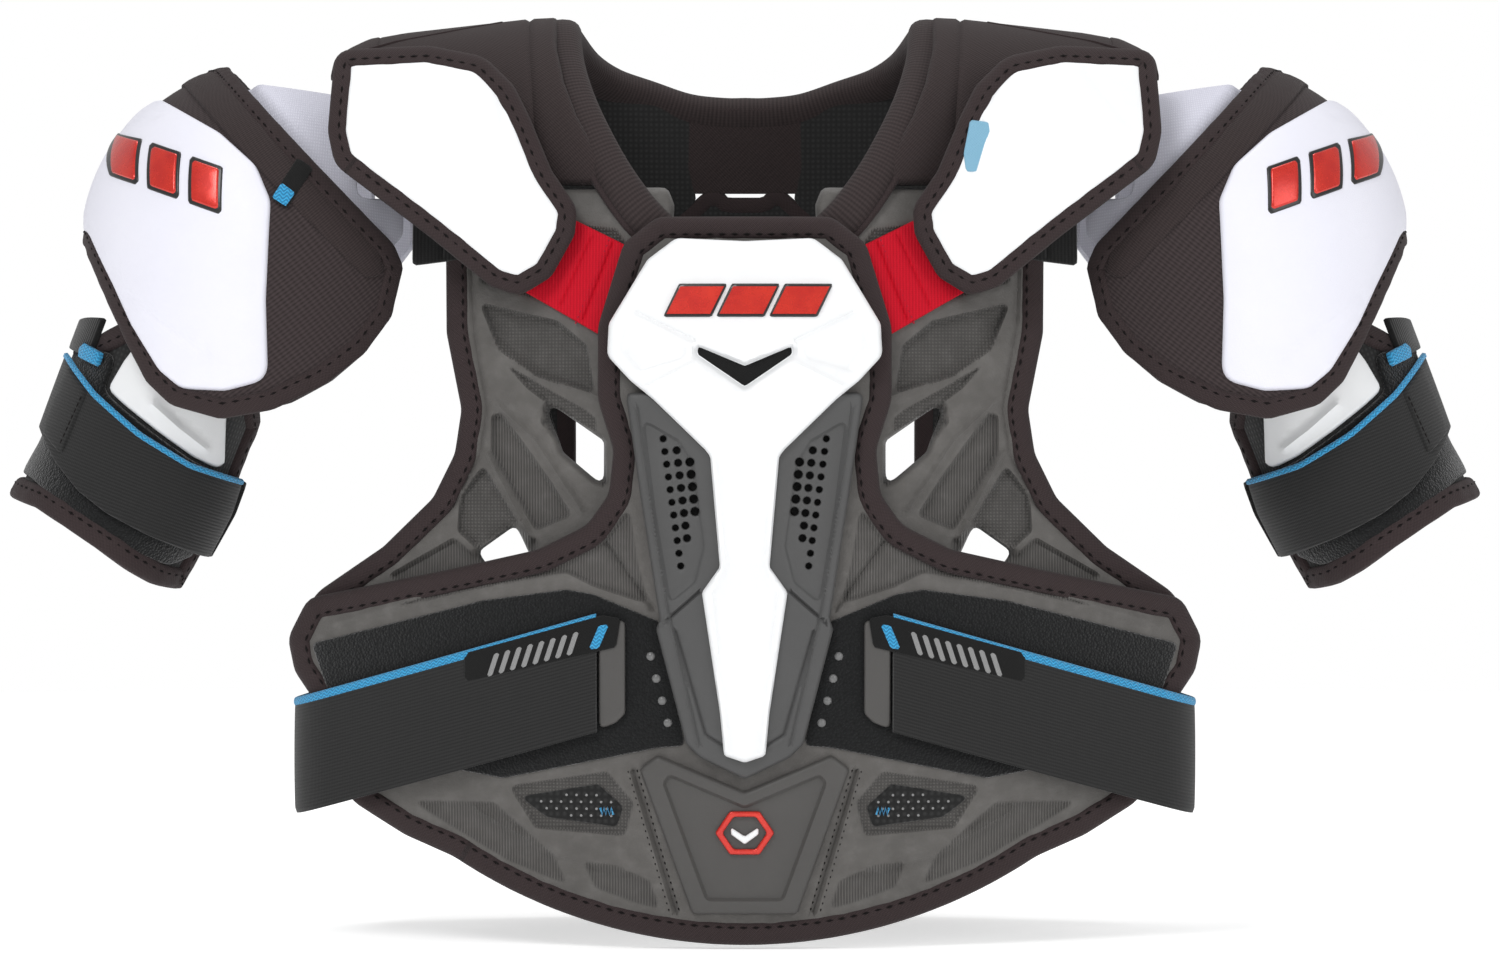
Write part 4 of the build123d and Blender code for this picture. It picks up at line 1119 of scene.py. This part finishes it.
cap_outline = dome_outline(CAP_EDGE, 8, 2.4, CAP_REAR)
pair("cap_padding", patch(cap_outline, dome, CAP_PAD, cell=4.0, edge=1.5), lining, "cap", "lining",
    ["cap_liner"], fill=0.8)
shell_edge = dome_outline(CAP_SHELL_EDGE, 9, 2.2)
cap_shell_relief = relief_of(ridges=[([(10, -42), (52, -50)], -0.4, 3.0),
    ([(70, 30), (112, 52)], -0.5, 3.0), ([(20, 20), (60, 44)], -0.35, 3.0)], puff=1.2, puff_reach=10)
pair("cap_plate", patch(shell_edge, dome, CAP_SHELL, cell=3.0, edge=2.6, relief=cap_shell_relief),
    cap_white, "cap", "cap_white", ["cap_shell"])
pair("cap_gusset_cloth", patch(cap_outline, dome, GUSSET, cell=3.4, edge=1.0), gusset_cloth, "cap",
    "gusset_twill", ["cap_gusset"])
bound("cap", cap_outline, dome, (7.6, -0.7, 6.4), 5.2, 6.3, "cap", wrinkle=0.06)
strip_edge = [(256, 40), (245, 14), (203, -33), (162, -76), (160, -86), (168, -88), (212, -43), (256, 4),
              (268, 30)]
strip_rear = [(256, 40), (245, 14), (207, -28), (170, -71), (165, -82), (173, -86), (214, -43), (256, 4),
    (268, 30)]
strip_outline = dome_outline(strip_edge, 3, 2.2, strip_rear)
pair("cap_strip", patch(strip_outline, dome, STRIP, cell=3.0, edge=1.2, relief=relief_of(puff=0.5,
    puff_reach=5)), yoke_cloth, "cap", "gusset_twill")

# Cap mark: three slanted raised bars on a dark edge.
MARK_AT, MARK_ANGLE = (256, -41), radians(20)


def turned_bar(along, width, height, slant, radius, layer, edge):
    """A slanted bar on the cap's front, at a place along the mark."""
    c, s = cos(MARK_ANGLE), sin(MARK_ANGLE)
    corners = [(-width / 2 - slant, -height / 2), (width / 2 - slant, -height / 2),
               (width / 2 + slant, height / 2), (-width / 2 + slant, height / 2)]
    seen = [dome_flat(MARK_AT[0] + (x + along) * c - z * s, MARK_AT[1] + (x + along) * s + z * c)
            for x, z in corners]
    return patch(rounded(seen, radius, 1.5), dome, layer, cell=3, edge=edge)


bars = [turned_bar(along, 13.0, 17, 3.2, 1.2, CAP_MARK, 1.2) for along in (-20, 0, 20)]
rims = [turned_bar(along, 16.0, 20, 3.6, 1.6, CAP_MARK_EDGE, 0.8) for along in (-20, 0, 20)]
pair("cap_mark", joined(bars), emblem_red, "cap", "emblem_red")
pair("cap_mark_edge", joined(rims), emblem_dark, "cap", "cap_white")
tag_edge = rounded([dome_flat(*p) for p in ((198, -35), (209, -53), (202, -58), (191, -40))], 0.8, 1.5)
piece("cap_tag", patch(tag_edge, dome, CAP_TAG, cell=3, edge=0.5), label_cloth, "cap_right", "gusset_twill",
    side=-1)
tag_stripe = rounded([dome_flat(*p) for p in ((204.5, -46.5), (208.5, -53), (202.5, -57), (198.5, -51))],
                     0.6, 1.2)
piece("cap_tag_stripe", patch(tag_stripe, dome, TAG_STRIPE, cell=3, edge=0.3), blue_braid, "cap_right",
    "elastic_black", side=-1)

bridge_outline = dome_outline(BRIDGE_EDGE, 4, 2.6)
BRIDGE_BULGE = 6.5                      # how far the cloth rises
BULGE_START, BULGE_WHOLE = 35.0, 65.0   # it grows between these lengths round from the joint


def bridge_relief(p, far):
    """The cloth bulges up over the top of the arm, where the cap does not cover it."""
    bare = np.where(inside(p, cap_outline), 0, distance(p, cap_outline))
    upper = step_up((-p[:, 1] - BULGE_START) / (BULGE_WHOLE - BULGE_START))
    bulge = BRIDGE_BULGE * step_up(bare / 9) * step_up(far / 6) * upper
    return 0.6 * step_up(far / 16) + bulge, np.zeros(len(p))


bridge = patch(bridge_outline, dome, BRIDGE, cell=3.4, edge=2.0, relief=bridge_relief)
bridges = pair("shoulder_bridge", bridge, bridge_cloth, "vest", "bridge_white", ["cap_bridge"], fill=0.7)
for obj, (word, side) in zip(bridges, SIDES):
    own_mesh(obj)

# ---- Biceps guards
def sleeve_line(points, r, radius=6.0, step=2.0):
    """The part of an outline, seen from the front, that lies on the sleeve, in flat coordinates."""
    dense = rounded(points, radius, step)
    flat = [sleeve_flat(x, z, r) for x, z in dense]
    start = next(i for i in range(len(flat)) if flat[i] and not flat[i - 1]) if None in flat else 0
    order = [(start + i) % len(flat) for i in range(len(flat))]
    return np.array([flat[i] for i in order if flat[i]])


def sleeve_outline(points, r, limit, radius=6.0):
    """An outline on the sleeve's front, carried on behind as its mirror image up to a limit."""
    front = sleeve_line(points, r, radius, 2.2)
    behind = front[::-1] * [-1, 1]
    behind[:, 0] = np.maximum(behind[:, 0], -limit)
    return resample(np.vstack([front, behind]), 2.2)


liner_outline = sleeve_outline(GUARD_LINER_EDGE, 43.0, 89)
pair("biceps_cushion", patch(liner_outline, sleeve, SLEEVE_FOAM, cell=4.0, edge=2.0), lining, "biceps",
    "moulded_foam", ["biceps_liner"], fill=0.8)
bound("biceps", liner_outline, sleeve, (9.0, -0.8, 8.2), 5.6, 8.2, "biceps")
plate_outline = sleeve_line(GUARD_SHELL_EDGE, 46.0, 4)
ridge = [sleeve_flat(x, z, 46.0) for x, z in ((264, -143.5), (253, -154), (242, -163.5))]
plate_relief = relief_of(ridges=[(ridge, 1.4, 3.5)], puff=0.6)
pair("biceps_plate", patch(plate_outline, sleeve, SLEEVE_PLATE, cell=2.6, edge=2.0, relief=plate_relief),
    white_shell, "biceps", "shell_white", ["biceps_shell"])
pair("biceps_loop_field", patch(sleeve_outline(GUARD_PATCH_EDGE, 45.0, 63, 5), sleeve, SLEEVE_LOOP,
    cell=3.4, edge=1.2, relief=relief_of(puff=0.4, puff_reach=5)), loop_pile, "biceps", "loop_fabric",
    ["biceps_patch"])


def on_sleeve(corners, r, radius=1.2):
    """A small outline on the sleeve from its corners seen from the front."""
    return rounded([sleeve_flat(*p, r) for p in corners], radius, 1.8)


pair("biceps_adjuster_web", patch(on_sleeve(GUARD_ADJUSTER, 47.8), sleeve, SLEEVE_WEB, cell=2.8, edge=0.9),
    tether_elastic, "biceps", "elastic_black", ["biceps_adjuster"])
tab_corners = [(297.5, -115.0), (287.2, -120.5), (289.5, -126.5), (299.5, -122.0)]
pair("biceps_adjuster_end", patch(on_sleeve(tab_corners, 48.5, 1.0), sleeve, ADJUSTER_END, cell=3,
    edge=0.7), blue_braid, "biceps", "elastic_black")
flap_outline = sleeve_line(GUARD_STRAP_EDGE, 48.4, 3)
flap_outline = resample(flap_outline, 2.2)
flap = patch(flap_outline, sleeve, STRAP_WEB, cell=2.8, edge=0.9)
pair("biceps_strap_web", flap, strap_elastic, "biceps_strap", "elastic_black", ["biceps_strap"])
behind = flap_outline * [-1, 1]
band_outline = behind[behind[:, 0] < -74]
pair("biceps_band_web", patch(resample(band_outline, 2.2), sleeve, SLEEVE_WEB, cell=3.2, edge=0.9),
    strap_elastic, "biceps", "elastic_black", ["biceps_band"])
strap_top = rounded(GUARD_STRAP_EDGE[-1:] + GUARD_STRAP_EDGE[:5], 8, 2, False)
upper_edge = [p for p in (sleeve_flat(x, z, 48.6) for x, z in strap_top) if p]
pair("biceps_strap_braid", strand(resample(upper_edge, 2.0, False), sleeve, 10.4, 1.5), blue_braid,
     "biceps_strap", "elastic_black")
fold = rounded([sleeve_flat(*p, 48.9) for p in ((304, -125.5), (294, -138), (305.5, -166), (316, -155))],
    1.5, 2)
pair("biceps_strap_fold", patch(fold, sleeve, STRAP_FOLD, cell=3, edge=1.0), strap_elastic, "biceps_strap",
    "elastic_black")
seam = [sleeve_flat(x, z, 49.5) for x, z in ((296, -139.5), (307, -163.5))]
pair("biceps_strap_seam", stitched(seam, sleeve, 12.3, closed=False, pitch=3.0), thread,
     "biceps_strap", "elastic_black")


# ---- Body straps
def strap_plan():
    """The strap's middle line seen from above, from the front end round the side to the rear."""
    xs = np.linspace(64.6, 184, 50)
    r = WALL_RADIUS + 24.3
    line = [(x, WALL_AXIS - sqrt(r * r - x * x)) for x in xs]
    heading = np.array(line[-1]) - np.array(line[-2])
    heading /= np.linalg.norm(heading)
    left = np.array([-heading[1], heading[0]])
    middle = np.array(line[-1]) + left * 34.0
    for turn in np.linspace(0, radians(75), 24)[1:]:
        back_out = -left * cos(turn) + heading * sin(turn)
        line.append(tuple(middle + back_out * 34.0))
    end = np.array([172.0, 62.0])
    last = np.array(line[-1])
    line += [tuple(last + (end - last) * k) for k in np.linspace(0, 1, 30)[1:]]
    return resample(line, 2.6, closed=False)


def strap_height(x, edge):
    """Height of the strap's upper (0) or lower (1) edge over x."""
    tops = ((64, -236), (203, -276), (260, -280)), ((64, -287), (203, -327), (260, -330))
    return np.interp(x, [p[0] for p in tops[edge]], [p[1] for p in tops[edge]])


plan = strap_plan()
plan_out = -inward(plan, closed=False)
upper = np.column_stack([plan, strap_height(plan[:, 0], 0)])
lower = np.column_stack([plan, strap_height(plan[:, 0], 1)])
outward = np.column_stack([plan_out, np.zeros(len(plan))])
strap = ribbon(upper, lower, outward, 2.4, columns=16, bulge=0.4)
straps = pair("body_strap_web", strap, strap_elastic, None, "elastic_black", ["body_strap"])
braid = tube(upper + outward * 0.6 - [0, 0, 1.2], np.tile([0, 0, 1.0], (len(plan), 1)), outward, 2.1, 1.3,
    10)
braids = pair("body_strap_braid", braid, blue_braid, None, "elastic_black")
for objs in (straps, braids):
    for obj, (word, side) in zip(objs, SIDES):
        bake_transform(obj)
pair("strap_hook_tab", patch(rounded(STRAP_TAB, 2.5, 1.6), chest, HOOK_TAB, cell=2.6, edge=1.0),
    belly_rubber, "body_strap", "loop_fabric", ["strap_tab"])
label_edge = [(54, -237.5), (62, -236), (123, -253), (123, -266), (56, -250)]
pair("strap_label", patch(rounded(label_edge, 1.2, 2), chest, STRAP_LABEL, cell=3.0, edge=0.6), label_cloth,
    "body_strap", "elastic_black")
pair("strap_label_bar", patch(rounded([(59, -240), (63.5, -240.5), (68, -251), (63.5, -250.5)], 0.6, 1.4),
    chest, LABEL_BAR, cell=3, edge=0.3), blue_braid, "body_strap", "elastic_black")
slashes = [patch(rounded([(72 + 5 * k, -243 - 1.35 * k), (74.6 + 5 * k, -243.7 - 1.35 * k),
    (78 + 5 * k, -254 - 1.35 * k), (75.4 + 5 * k, -253.3 - 1.35 * k)], 0.4, 1.2), chest, LABEL_SLASH,
    cell=3, edge=0.3) for k in range(8)]
pair("strap_label_slashes", joined(slashes), label_grey, "body_strap", "elastic_black")
cross = [stitched([(x, strap_height(x, 0) - 15), (x, strap_height(x, 1) + 2)], chest, 25.6, closed=False,
                  length=1.8, pitch=3.0) for x in (67.5, 98.0, 101.0)]
pair("strap_seams", joined(cross), thread, "body_strap", "elastic_black")

# ---- Shoulder arches and collar
def arch_flat(x, z, side=1):
    """The arch's flat coordinates of a point seen at (x, z), on the front or (side -1) the back."""
    zc, r = arch_section(x)
    return x, side * 80.0 * np.arccos(np.clip((z - zc) / r, -1, 1))


front_foot = [arch_flat(x, -47) for x in np.linspace(54, 168, 24)]
back_foot = [arch_flat(x, -47, -1) for x in np.linspace(168, 84, 18)]
neck = [arch_flat(84, z, -1) for z in (-20, 10, 25)] + [(84, 0)] + [arch_flat(*p) for p in (
    (84, 20), (80, 2), (74, -14), (65, -32))]
arch_outline = resample(front_foot + [(168, 0)] + back_foot + neck, 2.6)
pair("shoulder_yoke", patch(arch_outline, arch, YOKE_FOAM, cell=3.6, edge=3.0,
    relief=relief_of(ridges=[([(92, 118), (96, 60), (98, 0), (96, -60), (92, -118)], -0.8, 2.0)],
    puff=0.8)), yoke_cloth, "vest", "moulded_foam", ["shoulder_arch"], fill=0.8)

flap = patch(rounded([(165, 64), (165, -64), (178, -50), (186, -37), (186, 37), (178, 50)], 3, 2.2), arch,
    FLAP, cell=3.0, edge=1.8, relief=relief_of(puff=0.8, puff_reach=8))
pair("shoulder_flap", flap, yoke_cloth, "vest", "moulded_foam")
crease = strand([(110, 14), (136, 26), (158, 34), (174, 34)], arch, 11.4, 0.9)
pair("yoke_crease", crease, binding, "vest", "moulded_foam")

collar_path = smooth_path([(36, -90, -70), (47, -89, -58), (59, -82, -40), (72, -66, -14), (79.5, -44, 8),
    (82.5, -14, 27), (82, 20, 27), (74, 50, 17), (62, 65, 9), (45, 73, 3), (27, 76, -3), (10, 77.5, -5),
    (-1, 77.5, -5)], 2.2)


def frames(path, centre):
    """Directions across and out from a space curve that runs round a centre line."""
    ahead = np.gradient(path, axis=0)
    ahead /= np.linalg.norm(ahead, axis=1)[:, None]
    out = path - centre
    out -= (out * ahead).sum(1)[:, None] * ahead
    out /= np.linalg.norm(out, axis=1)[:, None]
    return np.cross(ahead, out), out


collar_centre = np.column_stack([collar_path[:, 0], np.zeros(len(collar_path)),
    np.full(len(collar_path), -49.0)])
across, out = frames(collar_path, collar_centre)
pair("collar_roll", tube(collar_path - out * 4.0, across, out, 8.6, 7.6, 20, 0.8), knit, "vest", "binding",
     ["collar"], fill=0.9)
pair("collar_piping", tube(collar_path - out * 1.0 + across * 8.6, across, out, 1.8, 1.8, 8), binding,
    "vest", "binding")

# ---- Back
back_outline = rounded([(25, -4), (48, 3), (72, 9), (86, -14), (92, -47), (133, -48), (134, -110, 20),
                        (128, -165, 20), (108, -194, 12), (81, -195, 8), (81, -130, 10), (55, -106, 10),
                        (54, -74, 6), (33, -58, 5), (23, -46, 2), (25, -30)], 4, 2.4)
back_relief = relief_of(
    fields=[([(76, -58), (122, -60), (123, -104), (106, -112), (84, -96)], 1.6, 3.0, 2.0),
            ([(92, -112), (122, -120), (117, -158), (104, -178), (93, -170)], 1.6, 3.0, 1.0)],
    ridges=[([(40, -14), (66, -10), (74, -36)], -0.8, 2.0)], puff=0.9)
pair("back_foam", patch(back_outline, back, FOAM, cell=3.2, edge=3.0, relief=back_relief), foam, "vest",
    "moulded_foam", ["back_panel"], fill=0.8, inner=lining)
back_line = rounded([(90, -49), (133, -50), (134, -110), (128, -165), (108, -194), (81, -195), (81, -130),
                     (60, -106), (60, -74)], 12, 2, closed=False)
taped("back", back_line[::-1] if inward(back_line, False)[5][1] > 0 else back_line, back, (8.4, -0.6, 11.6),
      "vest", closed=False)
piece("neck_yoke", patch(rounded(NECK_BRIDGE, 2, 2.4), back, FOAM, cell=3.4, edge=2.5,
    relief=relief_of(fields=[([(-15, -12), (15, -12), (15, -32), (-15, -32)], 1.0, 1.6, 1.0)], puff=0.4)),
    yoke_cloth, "vest", "moulded_foam", ["neck_bridge"], fill=0.8)
neck_line = rounded([(-26, -4), (26, -4)], 2, 2, closed=False)
taped("neck", neck_line[::-1], back, (7.0, -0.6, 11.4), "vest", closed=False, wrinkle=0.0, make=piece)
spine_outline = rounded(both_sides(SPINE_PAD), 3, 2.6)
piece("spine_cushion", patch(spine_outline, back, FOAM, cell=3.6, edge=2.5, relief=relief_of(puff=0.6)),
    foam, "vest", "moulded_foam", ["spine_pad"], fill=0.8, inner=lining)
taped("spine", spine_outline, back, (7.0, -0.5, 11.5), "vest", wrinkle=0.04, make=piece)
shield_relief = relief_of(fields=[(both_sides([(0, -92), (12, -96), (20, -126), (22, -178), (0, -181)]),
    1.0, 1.8, 0)], ridges=[([(0, -78), (0, -190)], 0.6, 4.0)], puff=0.4)
piece("spine_shell", patch(rounded(both_sides(SPINE_SHIELD), 4, 2), back, SPINE_SHELL, cell=2.8, edge=2.4,
    relief=shield_relief), white_shell, "vest", "shell_white", ["spine_plate"])
lumbar_outline = rounded(both_sides(LUMBAR_EDGE), 5, 2.8)
lumbar_relief = relief_of(fields=both([([(30, -212), (62, -212), (100, -226), (140, -258), (60, -262),
    (30, -246)], 1.6, 3.0, 2.0), ([(30, -262), (60, -274), (134, -276), (128, -320), (60, -332),
    (30, -334)], 1.4, 3.0, 1.0)]), puff=0.8)
piece("lumbar_foam", patch(lumbar_outline, back, FOAM, cell=3.4, edge=3.0, relief=lumbar_relief), foam,
    "vest", "moulded_foam", ["lumbar_panel"], fill=0.8, inner=lining)
taped("lumbar", lumbar_outline, back, (8.4, -0.6, 11.6), "vest", make=piece)
pair("strap_anchor_web", patch(rounded(STRAP_ANCHOR, 1.5, 2), back, ANCHOR, cell=3, edge=0.9),
    strap_elastic, "vest", "elastic_black", ["strap_anchor"])
pair("strap_anchor_seam", joined([stitched([(x, -281), (x, -319)], back, 13.1, closed=False) for x in (143,
    147)]), thread, "vest", "elastic_black")

# The raised chest mark is the CAD's own, in a better finish.
emblem_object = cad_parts["sternum_emblem"]
emblem_object.data.materials.clear()
emblem_object.data.materials.append(emblem_node)
piece("chest_mark_edge", joined(outline_bars), emblem_dark, "sternum_guard", "shell_white")


# ---- Floor, light and camera
AMBIENT = 0.55      # the world's own light; the camera sees it as white
GLOW = 0.5          # the floor's own light, which keeps it nearly white
AIM = (0, 0, -0.18)


def soft_light(name, place, size, power):
    """A square soft box."""
    data = bpy.data.lights.new(name, "AREA")
    data.shape, data.size, data.energy = "SQUARE", size, power
    obj = bpy.data.objects.new(name, data)
    obj.location = place
    obj.rotation_euler = (Vector(AIM) - Vector(place)).to_track_quat("-Z", "Y").to_euler()
    bpy.context.scene.collection.objects.link(obj)
    return obj


bpy.ops.mesh.primitive_circle_add(vertices=96, radius=3.0, fill_type="NGON",
    location=(0, 0, cad_low.z - 0.003))
floor = bpy.context.object
floor.name = "floor"
ground = Graph("floor_pale", "object")
ground.shader.inputs["Emission Color"].default_value = (1, 1, 1, 1)
ground.shader.inputs["Emission Strength"].default_value = GLOW
floor.data.materials.append(ground.done(ground.colours(ground.noise(60.0), grey(0.86), grey(0.88)), 0.85,
                                        specular=0.1))

world = bpy.data.worlds.new("studio")
bpy.context.scene.world = world
world.use_nodes = True
sky, lit = world.node_tree.nodes["Background"], world.node_tree.nodes.new("ShaderNodeBackground")
path, mixed = (world.node_tree.nodes.new(kind) for kind in ("ShaderNodeLightPath", "ShaderNodeMixShader"))
sky.inputs[0].default_value = lit.inputs[0].default_value = (1, 1, 1, 1)
sky.inputs[1].default_value, lit.inputs[1].default_value = 1.0, AMBIENT
world.node_tree.links.new(path.outputs["Is Camera Ray"], mixed.inputs[0])
world.node_tree.links.new(lit.outputs[0], mixed.inputs[1])
world.node_tree.links.new(sky.outputs[0], mixed.inputs[2])
world.node_tree.links.new(mixed.outputs[0], world.node_tree.nodes["World Output"].inputs[0])
soft_light("key", (-0.9, -1.9, 1.5), 0.9, 26)
soft_light("fill", (1.5, -1.7, 0.6), 1.2, 11)
soft_light("top", (0.0, 0.3, 1.7), 0.8, 10)

bpy.context.scene.view_settings.view_transform = "Standard"
lens = bpy.data.cameras.new("camera")
lens.lens, lens.sensor_width = 137, 36
camera = bpy.data.objects.new("camera", lens)
camera.location = (0.0023, -2.6, -0.177)
camera.rotation_euler = (pi / 2, 0, 0)
bpy.context.scene.collection.objects.link(camera)
bpy.context.scene.camera = camera
